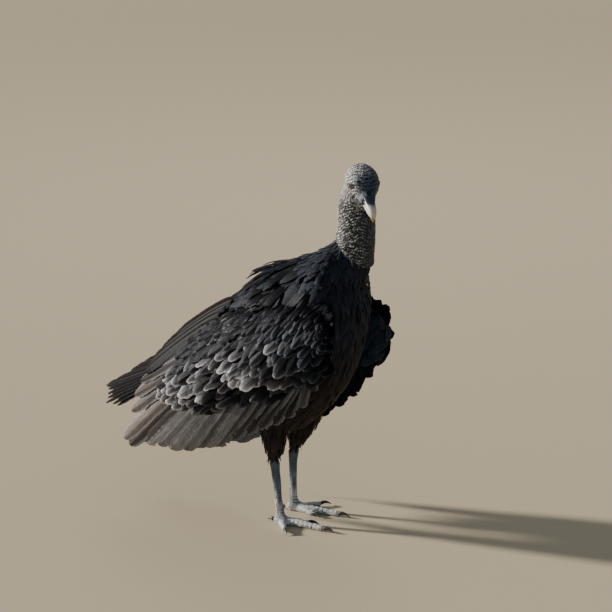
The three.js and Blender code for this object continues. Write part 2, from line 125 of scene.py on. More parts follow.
COAT_DEPTH = 4.5  # the skin lies this far inside the flesh nodes where feathers cover it
FLESH_SWELLING = 0.45  # grows the flesh nodes so that they run together
VOXEL = 4.2 * MM
SKIN_CUTS = {"leg": 2, "head": 4, "eyes": 2}  # how finely each bare region is divided
NECK_LOWEST = 380.0  # nothing below this height is bare neck
NECK_MARGIN = 6.0  # the collar's folds start this far below its line
LEGS_REARMOST = -60.0  # the hanging wings start behind this place
NECK_RELIEF_DEPTH = 1.75
HEAD_RELIEF_DEPTH = 1.0
FOLD_GAP = 4.6  # between the folds of the head and neck
SCUTE_GAP = 4.4  # between the scutes of the shanks
TOE_SCUTE_GAP = 3.4
TOE_TOP = 16.0
TUFT_PATCH = 0.003  # size of one feather's patch on the unwrapped skin

# ---- Colours (linear) ------------------------------------------------------------------

BLACK = np.array([0.0050, 0.0045, 0.0056])
BROWN_BLACK = np.array([0.0110, 0.0078, 0.0074])
BLUE_BLACK = np.array([0.0058, 0.0082, 0.0125])
PURPLE_BROWN = np.array([0.0105, 0.0085, 0.0125])
GREY_BROWN = np.array([0.062, 0.060, 0.062])
# paler feather edges: partly wear, partly painted highlight
EDGE_WEAR_AND_HIGHLIGHT = np.array([0.50, 0.50, 0.51])
SHAFT = np.array([0.20, 0.185, 0.16])
OLD_BROWN = np.array([0.052, 0.044, 0.041])
TERTIAL_BROWN = np.array([0.0130, 0.0085, 0.0070])
SKIN_DARK = np.array([0.010, 0.010, 0.013])
# pale tops of the bare skin's bumps: painted highlight
SKIN_HIGHLIGHT = np.array([0.66, 0.65, 0.66])
SKIN_OLIVE = np.array([0.13, 0.108, 0.075])
# blue-black of the bare skin in shade: painted shade
SKIN_SHADE_BLUE = np.array([0.011, 0.022, 0.040])
SKIN_CHEEK = np.array([0.30, 0.33, 0.38])
LEG_GREY = np.array([0.070, 0.105, 0.14])
LEG_CHALK = np.array([0.56, 0.56, 0.535])
LEG_GROOVE = np.array([0.05, 0.058, 0.066])

# ---- Small helpers ---------------------------------------------------------------------


def head_point(ahead, left, above):
    return (HEAD_CENTRE + np.multiply.outer(ahead, HEAD_AHEAD)
            + np.multiply.outer(left, HEAD_LEFT) + np.multiply.outer(above, HEAD_UP))


eye_low, eye_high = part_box("eye_right")
eye_middle = (np.array(eye_low) + np.array(eye_high)) / 2
SHIFT = eye_middle - head_point(EYE_PLACE[0], -EYE_PLACE[1], EYE_PLACE[2]) * MM


def place(points):
    """Design millimetres to metres in the frame."""
    return np.asarray(points, float) * MM + SHIFT


def unplace(points):
    """Metres in the frame to design millimetres."""
    return (np.asarray(points, float) - SHIFT) / MM


def unit(vectors):
    vectors = np.asarray(vectors, float)
    return vectors / np.maximum(np.linalg.norm(vectors, axis=-1, keepdims=True), 1e-9)


def ease(value, low, high):
    """0 below low, 1 above high and smooth between them."""
    share = np.clip((np.asarray(value, float) - low) / (high - low), 0, 1)
    return share * share * (3 - 2 * share)


def mix(first, second, share):
    return first + (second - first) * share


def blend(first, second, share):
    """Mixes two colours, or rows of colours, by a share for each place."""
    return mix(first, second, np.asarray(share)[..., None])


def bell(*offsets):
    """1 in the middle, falling away over one width; each offset is counted in widths."""
    return np.exp(-sum(offset ** 2 for offset in offsets))


def smooth_row(values, places):
    """A Catmull-Rom curve through rows of values, at places from 0 to 1."""
    values = np.asarray(values, float)
    t = np.asarray(places, float) * (len(values) - 1)
    i = np.clip(np.floor(t).astype(int), 0, len(values) - 2)
    a, b = values[np.maximum(i - 1, 0)], values[i]
    c, d = values[i + 1], values[np.minimum(i + 2, len(values) - 1)]
    f = (t - i)[..., None] if values.ndim > 1 else t - i
    return b + 0.5 * f * (c - a + f * (2 * a - 5 * b + 4 * c - d + f * (3 * (b - c) + d - a)))


def noise_at(points, size, seed=0.0):
    """Smooth noise of about -1 to 1 at design points, with features of the given size."""
    offset = Vector((seed, seed * 0.7, -seed))
    return np.array([noise.noise(Vector(p) / size + offset) for p in points])


def add_object(name, data):
    obj = bpy.data.objects.new(name, data)
    bpy.context.scene.collection.objects.link(obj)
    return obj


def finish_piece(obj, material, slot, *replaced):
    """Gives a visible piece its material, hangs it under the root and hides the nodes that it
    replaces; slot is not used.
    """
    obj.data.materials.append(material)
    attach(obj, "root")
    if replaced:
        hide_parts(*replaced)


def set_smooth(mesh):
    mesh.polygons.foreach_set("use_smooth", np.ones(len(mesh.polygons), bool))
    mesh.update()


def set_tint(mesh, colours):
    """Stores one colour for each vertex, which the materials read."""
    attribute = mesh.color_attributes.new("tint", "FLOAT_COLOR", "POINT")
    rgba = np.ones((len(mesh.vertices), 4), np.float32)
    rgba[:, :3] = colours
    attribute.data.foreach_set("color", rgba.ravel())


# ---- Materials -------------------------------------------------------------------------


class Nodes:
    """A material's node tree, with short ways to add and join nodes."""

    def __init__(self, name, roughness, **sockets):
        self.material = bpy.data.materials.new(name)
        self.material.use_nodes = True
        self.tree = self.material.node_tree
        self.shader = self.tree.nodes["Principled BSDF"]
        self.shader.inputs["Roughness"].default_value = roughness
        for socket, value in sockets.items():
            self.shader.inputs[socket.replace("_", " ")].default_value = value

    def add(self, kind, **settings):
        node = self.tree.nodes.new(kind)
        for key, value in settings.items():
            if hasattr(node, key):
                setattr(node, key, value)
            else:
                node.inputs[key].default_value = value
        return node

    def join(self, source, target):
        self.tree.links.new(source, target)

    def scaled_tint(self, value, low, high):
        """The stored colour times low to high, as the value goes from 0.3 to 0.7."""
        tint = self.add("ShaderNodeAttribute", attribute_name="tint")
        spread = self.add("ShaderNodeMapRange")
        ends = {"From Min": 0.3, "From Max": 0.7, "To Min": low, "To Max": high}
        for socket, number in ends.items():
            spread.inputs[socket].default_value = number
        self.join(value, spread.inputs["Value"])
        scaled = self.add("ShaderNodeVectorMath", operation="SCALE")
        self.join(tint.outputs["Color"], scaled.inputs[0])
        self.join(spread.outputs["Result"], scaled.inputs["Scale"])
        self.join(scaled.outputs["Vector"], self.shader.inputs["Base Color"])

    def varied_tint(self, scale, low, high):
        """The stored colour, made darker and lighter by noise over the object."""
        coordinates = self.add("ShaderNodeTexCoord")
        grain = self.add("ShaderNodeTexNoise", Scale=scale, Detail=4.0)
        self.join(coordinates.outputs["Object"], grain.inputs["Vector"])
        self.scaled_tint(grain.outputs["Fac"], low, high)
        return coordinates

    def bump(self, height_socket, distance, strength=1.0):
        bump = self.add("ShaderNodeBump", Strength=strength, Distance=distance)
        self.join(height_socket, bump.inputs["Height"])
        self.join(bump.outputs["Normal"], self.shader.inputs["Normal"])


def feather_material(name, roughness, specular, lengthwise, barbs):
    """Vanes: the stored colour with streaks along the shaft and along the barbs."""
    nodes = Nodes(name, roughness, Sheen_Weight=0.01, Sheen_Roughness=0.35,
                  Specular_IOR_Level=specular, Specular_Tint=(0.62, 0.76, 1.0, 1.0))
    vane = nodes.add("ShaderNodeAttribute", attribute_name="vane")

    def streaks(stretch, scale):
        mapping = nodes.add("ShaderNodeMapping")
        mapping.inputs["Scale"].default_value = stretch
        nodes.join(vane.outputs["Vector"], mapping.inputs["Vector"])
        grain = nodes.add("ShaderNodeTexNoise", Scale=scale, Detail=4.0, Roughness=0.6)
        nodes.join(mapping.outputs["Vector"], grain.inputs["Vector"])
        return grain.outputs["Fac"]

    mixed = nodes.add("ShaderNodeMix")
    mixed.inputs["Factor"].default_value = barbs
    nodes.join(streaks((0.3, 6.0, 1.0), 1.6), mixed.inputs["A"])
    nodes.join(streaks((1.0, 0.1, 1.0), 3.4), mixed.inputs["B"])
    nodes.scaled_tint(mixed.outputs["Result"], 1 - lengthwise, 1 + 1.3 * lengthwise)
    nodes.bump(streaks((1.0, 0.05, 1.0), 13.0), 0.0005, 0.6)
    return nodes.material


def skin_material():
    nodes = Nodes("skin", 0.62, Specular_IOR_Level=0.4)
    coordinates = nodes.varied_tint(420.0, 0.8, 1.2)
    pores = nodes.add("ShaderNodeTexVoronoi", Scale=900.0)
    nodes.join(coordinates.outputs["Object"], pores.inputs["Vector"])
    nodes.bump(pores.outputs["Distance"], 0.0004, 0.5)
    return nodes.material


def horn_material(name, roughness):
    nodes = Nodes(name, roughness, Specular_IOR_Level=0.5)
    coordinates = nodes.varied_tint(300.0, 0.88, 1.1)
    grain = nodes.add("ShaderNodeTexNoise", Scale=700.0, Detail=3.0)
    nodes.join(coordinates.outputs["Object"], grain.inputs["Vector"])
    nodes.bump(grain.outputs["Fac"], 0.0003, 0.3)
    return nodes.material


# ---- Meshes made of many closed rows of rings ------------------------------------------


def sharpen_rims(mesh, ring):
    """Marks the two long edges of every vane as sharp, so that its face shades flat."""
    ends = mesh_rows(mesh.edges, "vertices", 2, np.int32) % ring
    rim = 2 if ring == len(SLIM_RING) else 6
    sharp = (ends[:, 0] == ends[:, 1]) & ((ends[:, 0] == 0) | (ends[:, 0] == rim))
    attribute = mesh.attributes.new("sharp_edge", "BOOLEAN", "EDGE")
    attribute.data.foreach_set("value", sharp)


def rings_mesh(name, points, colours, uv=None, vane=None):
    """One mesh of N tubes, each of S rings of R points, closed at both ends.

    points and colours have the shape (N, S, R, 3); uv and vane are per vertex too.
    """
    count, steps, ring, _ = points.shape
    index = np.arange(count * steps * ring).reshape(count, steps, ring)
    after = np.roll(index, -1, axis=2)
    quads = np.stack([index[:, :-1], after[:, :-1], after[:, 1:], index[:, 1:]], axis=-1)
    quads = quads.reshape(-1, 4)
    caps = np.concatenate([index[:, 0, ::-1], index[:, -1]])
    mesh = bpy.data.meshes.new(name)
    mesh.from_pydata(place(points).reshape(-1, 3).tolist(), [], quads.tolist() + caps.tolist())
    set_smooth(mesh)
    set_tint(mesh, colours.reshape(-1, 3))
    if uv is not None:
        corners = np.concatenate([quads.ravel(), caps.ravel()])
        layer = mesh.uv_layers.new(name="OFBake")
        layer.data.foreach_set("uv", uv.reshape(-1, 2)[corners].astype(np.float32).ravel())
    if vane is not None:
        attribute = mesh.attributes.new("vane", "FLOAT_VECTOR", "POINT")
        attribute.data.foreach_set("vector", vane.reshape(-1, 3).astype(np.float32).ravel())
        sharpen_rims(mesh, ring)
    mesh.validate()
    return add_object(name, mesh)


# Rings of a vane, as places across (-1 to 1) and heights in half thicknesses.
SLIM_RING = np.array([(-1, 0), (0, 1), (1, 0), (0, -1)], float)
BROAD_RING = np.array([
    (-1, 0), (-0.55, 0.6), (-0.08, 0.8), (0, 1.5), (0.08, 0.8), (0.55, 0.6), (1, 0), (0, -1),
], float)
SHAFT_PLACE = 3  # the ring's point on top of the shaft
BODY_THICKNESS, COVERT_VANE_THICKNESS, QUILL_THICKNESS = 0.5, 0.6, 0.9
NARROWEST_VANE = 0.35
BARB_SLANT = 0.9  # the barbs' streaks run this far back for each millimetre across
CM = 10.0  # the vane attribute is in centimetres: along the barbs, across, and each its own


def vane_places(steps):
    """Places of a vane's rings from root to tip, closer together towards the tip."""
    return 1 - (1 - np.linspace(0, 1, steps)) ** 1.5


def vane_width(along, grow, rounding):
    """Share of the full width at places along a vane, narrow at the root, round at the tip."""
    root = np.clip(along / grow, 0, 1)
    root = 0.18 + 0.82 * np.sqrt(1 - (1 - root) ** 2)
    tip = np.clip((along - (1 - rounding)) / rounding, 0, 1)
    return root * np.sqrt(1 - tip ** 2)


def strip_map(lengthwise, crosswise):
    """Spreads long feathers over a map of their own, one strip for each."""
    count = len(lengthwise)
    start = ((np.arange(count) + 0.5) / count)[:, None, None]
    return np.stack([start + 0.45 / count * crosswise, 0.02 + 0.96 * lengthwise], axis=-1)


def vanes(name, middle, normal, aside, half_width, thickness, ring, colour_of, uv_root=None,
          camber=0.15, grow=0.3, rounding=0.45, ragged=0.0, tilt=0.0):
    """A coat piece of N vanes.

    middle, normal and aside are (N, S, 3): each vane's line from root to tip, the way out
    of the coat and the way across. half_width is (N,). colour_of gets the place along and
    across of every vertex and gives its colour. uv_root is each root's place on the skin's
    unwrap; without it the vanes share out the whole map.
    """
    count, steps, _ = middle.shape
    along = vane_places(steps)
    width = half_width[:, None] * vane_width(along, grow, rounding)[None]
    width = np.maximum(width, NARROWEST_VANE)
    across = ring[:, 0]
    wide = width[:, :, None] * across[None, None]
    if ragged:
        notch = np.abs(rng.normal(0, ragged, wide.shape))
        notch = notch + (rng.random(wide.shape) < 0.5 * ragged) * rng.uniform(0.1, 0.4)
        notch = notch * ease(along, 0.3, 0.9)[None, :, None]
        wide = wide * (1 - np.minimum(notch, 0.6) * np.abs(across)[None, None])
    rise = camber * width[:, :, None] * (1 - across ** 2)[None, None]
    rise = rise + np.broadcast_to(tilt, count)[:, None, None] * wide
    rise = rise + ring[:, 1][None, None] * thickness / 2
    points = (middle[:, :, None] + aside[:, :, None] * wide[..., None]
              + normal[:, :, None] * rise[..., None])
    lengthwise = np.broadcast_to(along[None, :, None], wide.shape)
    crosswise = np.broadcast_to(across[None, None], wide.shape)
    colours = colour_of(lengthwise, crosswise)
    if uv_root is None:
        uv = strip_map(lengthwise, crosswise)
    else:
        uv = np.stack([crosswise / 2, lengthwise - 0.5], axis=-1) * TUFT_PATCH
        uv = uv + uv_root[:, None, None]
    length = np.linalg.norm(np.diff(middle, axis=1), axis=-1).sum(axis=1)
    run = lengthwise * length[:, None, None]
    barb_run = run - BARB_SLANT * np.abs(wide)
    own = np.broadcast_to(np.arange(count)[:, None, None] * 7.3 + 3 * np.sign(across), wide.shape)
    vane = np.stack([barb_run / CM, wide / CM, own], axis=-1)
    return rings_mesh(name, points, colours, uv, vane)


# ---- The skin --------------------------------------------------------------------------

SIDES = ("right", "left")
SIGN = {"right": -1, "left": 1}  # of the place to the left
FEET = {"right": np.array([10.0, -33.0]), "left": np.array([-6.0, 33.0])}
TOES = {"inner": (18, 45, 11), "middle": (-3, 79, 12.5), "outer": (-52, 46, 12),
        "hind": (168, 16, 8)}  # direction in degrees, length and thickness
FLESH = ["head", "neck", "neck_base", "trunk"] + [
    f"{part}_{side}" for side in SIDES for part in ("thigh", "shank", "foot", "wing_coverts")]


def collar_height(points):
    """Millimetres along the neck above the line where the bare skin starts."""
    return (points[..., 0] - COLLAR_POINT[0]) * COLLAR_AXIS[0] + (
        points[..., 2] - COLLAR_POINT[1]) * COLLAR_AXIS[1]


def bare_share(points):
    """1 on bare skin (head, neck, shanks and feet), 0 under feathers."""
    neck = ease(collar_height(points), -2.0, 2.5) * (points[..., 2] > NECK_LOWEST)
    leg = 1 - ease(points[..., 2], ANKLE_HEIGHT - 4, ANKLE_HEIGHT + 4)
    leg = leg * (np.abs(points[..., 1]) < 62) * (points[..., 0] > LEGS_REARMOST)
    leg = np.where(points[..., 2] < 70, 1.0, leg)
    return np.maximum(neck, leg)


def on_neck(points):
    """True on the bare head and neck and just below the collar."""
    return (collar_height(points) > -NECK_MARGIN) & (points[:, 2] > NECK_LOWEST)


def on_legs(points, margin):
    """True below the ankles' feathers and up to the margin above that line."""
    return (points[:, 2] < ANKLE_HEIGHT + margin) & (points[:, 0] > LEGS_REARMOST)


def merged_flesh():
    """The flesh nodes, swollen by a hair so that they run together, as one voxel mesh."""
    joined = bmesh.new()
    for name in FLESH:
        part = bmesh.new()
        part.from_mesh(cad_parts[name].data)
        bmesh.ops.remove_doubles(part, verts=part.verts, dist=1e-5)
        part.normal_update()
        for vert in part.verts:
            vert.co += vert.normal * FLESH_SWELLING * MM
        mesh = bpy.data.meshes.new(name + "_swollen")
        part.to_mesh(mesh)
        part.free()
        joined.from_mesh(mesh)
        bpy.data.meshes.remove(mesh)
    mesh = bpy.data.meshes.new("flesh")
    joined.to_mesh(mesh)
    joined.free()
    obj = add_object("flesh", mesh)
    remesh = obj.modifiers.new("remesh", "REMESH")
    remesh.mode = "VOXEL"
    remesh.voxel_size = VOXEL
    soften = obj.modifiers.new("soften", "SMOOTH")
    soften.factor = 0.5
    soften.iterations = 5
    evaluated = obj.evaluated_get(bpy.context.evaluated_depsgraph_get())
    result = bpy.data.meshes.new_from_object(evaluated)
    bpy.data.objects.remove(obj)
    return result


def mesh_rows(items, name, width=3, kind=np.float32):
    """One property of a mesh's vertices, edges or corners, one row for each."""
    values = np.empty(len(items) * width, kind)
    items.foreach_get(name, values)
    return values.reshape(-1, width)


def mesh_points(mesh):
    return unplace(mesh_rows(mesh.vertices, "co"))


def mesh_normals(mesh):
    return mesh_rows(mesh.vertices, "normal").astype(float)


def refine(mesh):
    """Adds vertices where the skin is bare, and more of them around the eyes."""
    bm = bmesh.new()
    bm.from_mesh(mesh)
    for region, cuts in SKIN_CUTS.items():
        points = unplace(np.array([v.co for v in bm.verts]))
        if region == "leg":
            inside = on_legs(points, 2)
        elif region == "head":
            inside = on_neck(points)
        else:
            inside = eye_frame(points)[0] < 8.5
        edges = [e for e in bm.edges if inside[e.verts[0].index] and inside[e.verts[1].index]]
        bmesh.ops.subdivide_edges(bm, edges=edges, cuts=cuts, use_grid_fill=True)
        bm.verts.ensure_lookup_table()
        bm.verts.index_update()
    bm.to_mesh(mesh)
    bm.free()


def cells(points, stretch, seed):
    """Distance to the border between cobbles, 0 in the groove, about 1 on the top."""
    values = np.empty(len(points))
    offset = Vector((seed, -seed, 2 * seed))
    scaled = points / stretch
    for i, point in enumerate(scaled):
        distances, _ = noise.voronoi(Vector(point) + offset)
        values[i] = distances[1] - distances[0]
    return np.clip(values * 2.2, 0, 1)


def head_axes(points):
    """Places ahead of, left of and above the middle of the head."""
    away = points - HEAD_CENTRE
    return away @ HEAD_AHEAD, away @ HEAD_LEFT, away @ HEAD_UP


def eye_frame(points):
    """Distance from the nearer eye's axis, height along it and the way from it.

    The distance is 99 deep inside the head. The way is from -1 to 1, 0 straight above or
    below the axis.
    """
    ahead, left, above = head_axes(points)
    away = np.stack([ahead, np.abs(left), above], axis=1) - np.array(EYE_PLACE)
    height = away @ EYE_AXIS
    flat = away - height[:, None] * EYE_AXIS
    spread = np.linalg.norm(flat, axis=1) + 1e-6
    level = flat @ np.array([EYE_AXIS[1], -EYE_AXIS[0], 0.0]) / spread
    reach = np.where(height > -9, spread, 99.0)
    return reach, height, level


def neck_relief(points):
    """Small bumps in slanting, wavering rows: 0 in the grooves, 1 on the tops."""
    axis_x = np.interp(points[:, 2], [400, 450, 520], [117, 119, 123])
    angle = np.arctan2(points[:, 1], points[:, 0] - axis_x)
    arc = (angle + THROAT_TURN) * 27.0
    warp = noise_at(points, 9.0, 3.0) * 3.2 + noise_at(points, 4.0, 6.0) * 1.0
    down = points[:, 2] + 0.62 * np.sqrt(arc ** 2 + 90) + warp
    rows = np.stack([arc + 0.25 * warp, down, 0 * arc], axis=1)
    bead = cells(rows, np.array([3.5, 2.5, 4.0]), 5.0)
    fold = 0.5 + 0.5 * np.sin(down * 2 * math.pi / FOLD_GAP)
    uneven = 0.5 + 0.5 * ease(noise_at(points, 6.0, 9.0), -0.3, 0.3)
    return np.clip(0.62 * bead + 0.5 * fold * uneven - 0.02, 0, 1.1)


def head_relief(points):
    """Finer bumps, in rings around the face."""
    ahead, left, above = head_axes(points)
    local = np.stack([ahead, np.abs(left), above], axis=1)
    warp = noise_at(local, 8.0, 8.0)[:, None] * 1.6
    bead = cells(local + warp, np.array([3.3, 2.5, 2.6]), 11.0)
    ring = np.hypot(ahead - 26, above + 6) + warp[:, 0] * 1.3
    fold = 0.5 + 0.5 * np.sin(ring * 2 * math.pi / FOLD_GAP)
    return np.clip(0.7 * bead + 0.42 * fold - 0.05, 0, 1.1)


def eyelids(points, moved):
    """Raises lids over each eyeball and sinks the opening between them."""
    spread, height, level = eye_frame(moved)
    height = height + EYEBALL_SUNK
    opening = EYE_OPENING + 0.5 * level ** 2
    dome = np.sqrt(LID_RADIUS ** 2 - np.minimum(spread, LID_EDGE) ** 2)
    skirt = dome - LID_SLOPE * np.maximum(spread - LID_EDGE, 0.0)
    lid = skirt + 0.35 * bell((spread - opening - 0.8) / 0.7)
    lid = np.maximum(lid, height)
    hollow = np.sqrt(np.maximum((EYEBALL_RADIUS - 0.9) ** 2 - spread ** 2, 0.0))
    target = mix(hollow, lid, ease(spread, opening - 0.35, opening + 0.35))
    share = (1 - ease(spread, 5.0, 10.0)) * (height > -6)
    side = np.sign((points - HEAD_CENTRE) @ HEAD_LEFT)
    out = EYE_AXIS[0] * HEAD_AHEAD + EYE_AXIS[1] * side[:, None] * HEAD_LEFT
    return moved + out * ((target - height) * share)[:, None]


def fit_face(points):
    """Brings the front of the head to its profile and a little over the bill's root."""
    ahead, left, above = head_axes(points)
    flat = unit(np.stack([left, above], axis=1)) + 1e-9
    half = np.interp(ahead, FACE_AHEAD, FACE_HALF_WIDTH)
    high = np.where(above > 0, np.interp(ahead, FACE_AHEAD, FACE_RISE),
                    np.interp(ahead, FACE_AHEAD, FACE_FALL))
    reach = 1 / np.hypot(flat[:, 0] / half, flat[:, 1] / high)
    radius = np.hypot(left, above)
    share = ease(ahead, 14, 20) * ease(radius / reach, 0.35, 0.65)
    near = 1 - ease(radius / reach, 1.08, 1.5)
    radius = radius + (reach - radius) * share * near
    ahead = ahead + 3.4 * ease(ahead, 25, 32) * near
    return head_point(ahead, flat[:, 0] * radius, flat[:, 1] * radius)


def shape_head_and_neck(points, normals, moved, colours):
    """Warts, folds, brows, ears and lids of the bare head and neck, and their colours."""
    is_neck = on_neck(points)
    p, n = points[is_neck], normals[is_neck]
    ahead, left, above = head_axes(p)
    head_share = ease(-np.linalg.norm(p - HEAD_CENTRE - HEAD_AHEAD * 4, axis=1), -40, -30)
    relief = mix(neck_relief(p), head_relief(p), head_share)
    depth = mix(NECK_RELIEF_DEPTH, HEAD_RELIEF_DEPTH, head_share)
    depth = depth * (1 - 0.45 * ease(ahead, 18, 28)) * ease(collar_height(p), -3, 1.5)
    spread, _, _ = eye_frame(p)
    brow = bell((above - 15) / 4.5, (ahead - 8) / 11, (np.abs(left) - 16) / 6) * 0.9
    ear = bell((ahead + 9) / 3.74, (above + 1) / 3.74) * (np.abs(left) > 12) * -2.6
    bib = bell((collar_height(p) - 3) / 5.0) * 1.6
    shift = depth * (relief - 0.5) * ease(spread, 4.0, 8.0) + brow + ear + bib
    face_points = np.where((ahead > 14)[:, None], fit_face(p), p)
    moved[is_neck] = eyelids(p, face_points + n * shift[:, None])
    colours[is_neck] = head_colours(p, relief, head_share, spread)


def head_colours(points, relief, head_share, eye_distance):
    """Painted highlights on the bumps' tops over dark skin in the grooves; olive below the eyes
    and pale cheeks; painted blue shade on the side turned away from the key light, and a
    blue-black forehead that is partly the skin's own colour and partly painted shade.
    """
    ahead, left, above = head_axes(points)
    # Painted highlight: the bumps' tops are painted pale, and every tint lighter on them, over
    # dark skin in the grooves.
    light = ease(relief, 0.42 - 0.2 * head_share, 1.0 - 0.15 * head_share)
    colour = blend(SKIN_DARK, SKIN_HIGHLIGHT, light * (1 - 0.1 * head_share))
    # Painted shade: the side of the head and neck turned away from the key light is painted
    # blue-black.
    painted_shade_side = 0.5 * points[:, 1] + 0.866 * (points[:, 0] - 119 - 12 * head_share)
    # The forehead is painted blue-black: partly the dark skin there, partly painted shade.
    front = ease(ahead + 0.75 * above, 16, 29) * head_share
    cheek = bell((ahead - 25) / 6, (above + 2) / 7) * head_share * ease(np.abs(left), 6, 12)
    olive = bell((ahead - 8) / 13, (above + 10) / 9) * head_share
    tints = (
        (SKIN_SHADE_BLUE, 0.4, 2.4, 0.75 * ease(painted_shade_side, -3, 15)),
        (SKIN_OLIVE, 0.5, 0.8, 0.7 * olive),
        (SKIN_SHADE_BLUE, 0.4, 2.0, 0.85 * front),
        (SKIN_CHEEK, 0.5, 0.7, 0.75 * cheek),
    )
    for tint, in_grooves, gain, share in tints:
        colour = blend(colour, tint * (in_grooves + gain * light[:, None]), share)
    return blend(colour, SKIN_DARK * 1.6, 0.8 * (1 - ease(eye_distance, 4.2, 6.8)))


def round_toes(points, shift):
    """Narrows each toe towards its claw, so that it ends round."""
    moved = points + shift
    low = points[:, 2] < TOE_TOP
    for side in SIDES:
        for angle, length, girth in TOES.values():
            angle = math.radians(angle) * -SIGN[side]
            way = np.array([math.cos(angle), math.sin(angle)])
            away = points[:, :2] - FEET[side]
            run = away @ way
            across = away @ np.array([-way[1], way[0]])
            end = low & (np.abs(across) < girth * 0.75) & (run > length - 7)
            share = 0.42 * np.clip((run - length + 7) / 7.5, 0, 1) ** 2 * end
            moved[:, 0] += way[1] * across * share
            moved[:, 1] -= way[0] * across * share
            moved[:, 2] -= (points[:, 2] - 0.3 * girth) * share * 0.8
    return moved


def shape_legs(points, normals, moved, colours):
    """Scutes down the front of the shanks and over the toes, small scales behind."""
    is_leg = on_legs(points, 4)
    p, n = points[is_leg], normals[is_leg]
    foot = np.where(p[:, 1:2] < 0, FEET["right"], FEET["left"])
    run = np.linalg.norm(p[:, :2] - foot, axis=1)
    on_toe = ease(run, 12, 16) * (p[:, 2] < TOE_TOP)
    along = mix(p[:, 2], run, on_toe)
    facing = mix(n[:, 0], n[:, 2], on_toe)
    rows = 0.5 + 0.5 * np.cos(along * 2 * math.pi / mix(SCUTE_GAP, TOE_SCUTE_GAP, on_toe))
    scute = 1 - rows ** 5
    small = cells(p, np.array([2.6, 2.6, 2.6]), 3.0)
    relief = mix(small, scute, ease(facing, 0.05, 0.35))
    floor = ease(p[:, 2], 0.6, 2.5)
    moved[is_leg] = round_toes(p, n * (0.6 * (relief - 0.6) * floor)[:, None])
    moved[is_leg, 2] = np.maximum(moved[is_leg, 2], 0.05)
    streaky = noise_at(p * np.array([1.0, 1.0, 0.3]), 6.0, 21.0)
    # The shanks whiten towards the floor and on the toes: partly their chalky coating, partly
    # painted sunlight on the lower shanks.
    low = 1 - ease(p[:, 2], 15, 80)
    chalk_and_sunlight = ease(0.3 * streaky + 0.55 * low + 0.3 * on_toe, 0.15, 0.8)
    tops = blend(LEG_GREY, LEG_CHALK, chalk_and_sunlight)
    colours[is_leg] = blend(LEG_GROOVE, tops, ease(relief, 0.05, 0.5))


def unwrap(obj):
    """Unwraps the skin into the map named OFBake."""
    obj.data.uv_layers.new(name="OFBake")
    bpy.context.view_layer.objects.active = obj
    obj.select_set(True)
    bpy.ops.object.mode_set(mode="EDIT")
    bpy.ops.mesh.select_all(action="SELECT")
    bpy.ops.uv.smart_project(angle_limit=math.radians(60), island_margin=0.001)
    bpy.ops.object.mode_set(mode="OBJECT")
    obj.select_set(False)


def build_skin():
    mesh = merged_flesh()
    refine(mesh)
    points, normals = mesh_points(mesh), mesh_normals(mesh)
    bare = bare_share(points)
    points = points - normals * (COAT_DEPTH * (1 - bare))[:, None]
    moved = points.copy()
    colours = np.tile(BLACK, (len(points), 1))
    shape_head_and_neck(points, normals, moved, colours)
    shape_legs(points, normals, moved, colours)
    mesh.vertices.foreach_set("co", place(moved).astype(np.float32).ravel())
    set_smooth(mesh)
    set_tint(mesh, colours)
    obj = add_object("skin", mesh)
    unwrap(obj)
    finish_piece(obj, skin_material(), "bare_skin", *FLESH)
    return obj


# ---- The body's coat -------------------------------------------------------------------


class Surface:
    """The skin as a surface to walk on, in design millimetres."""

    def __init__(self, obj):
        mesh = obj.data
        self.points = mesh_points(mesh)
        normals = mesh_normals(mesh)
        faces = [tuple(polygon.vertices) for polygon in mesh.polygons]
        self.tree = BVHTree.FromPolygons([Vector(p) for p in self.points], faces)
        self.normals = unit(np.array([normals[list(face)].mean(axis=0) for face in faces]))
        self.centres = np.array([self.points[list(face)].mean(axis=0) for face in faces])
        uv = mesh_rows(mesh.uv_layers["OFBake"].data, "uv", 2)
        self.uv = np.array([uv[list(p.loop_indices)].mean(axis=0) for p in mesh.polygons])

    def nearest(self, points):
        """The nearest places, their smooth normals and their faces."""
        found = [self.tree.find_nearest(Vector(p)) for p in points]
        places = np.array([hit[0] for hit in found])
        faces = np.array([hit[2] for hit in found])
        return places, self.normals[faces], faces


def body_lie(points):
    """The way that body feathers point: down the neck and back to the rump."""
    flat = points[:, [0, 2]]
    starts, ends = BODY_SPINE[:-1], BODY_SPINE[1:]
    run = ends - starts
    share = ((flat[:, None] - starts) * run).sum(-1) / (run ** 2).sum(-1)
    share = np.clip(share, 0, 1)
    gap = np.linalg.norm(starts + run * share[..., None] - flat[:, None], axis=-1)
    weight = 1 / (gap + 8.0) ** 4
    tangent = (unit(-run)[None] * weight[..., None]).sum(1)
    return unit(np.stack([tangent[:, 0], 0 * tangent[:, 0], tangent[:, 1]], axis=1))


def leg_lie(points):
    return np.repeat(np.array([[-0.12, 0.0, -1.0]]), len(points), axis=0)


def scatter(surface, chosen, spacing):
    """Faces of the skin picked so that no two are nearer than the spacing at them."""
    order = rng.permutation(np.nonzero(chosen)[0])
    grid, kept = {}, []
    cell = float(np.min(spacing[chosen]))
    for face in order:
        p, gap = surface.centres[face], spacing[face]
        key = tuple(np.floor(p / cell).astype(int))
        reach = int(math.ceil(gap / cell))
        steps = range(-reach, reach + 1)
        near = (grid.get((key[0] + i, key[1] + j, key[2] + k))
                for i, j, k in product(steps, repeat=3))
        if all(q is None or (q[0] - p[0]) ** 2 + (q[1] - p[1]) ** 2 + (q[2] - p[2]) ** 2
               > gap * gap for q in near):
            grid[key] = p
            kept.append(face)
    return np.array(kept)


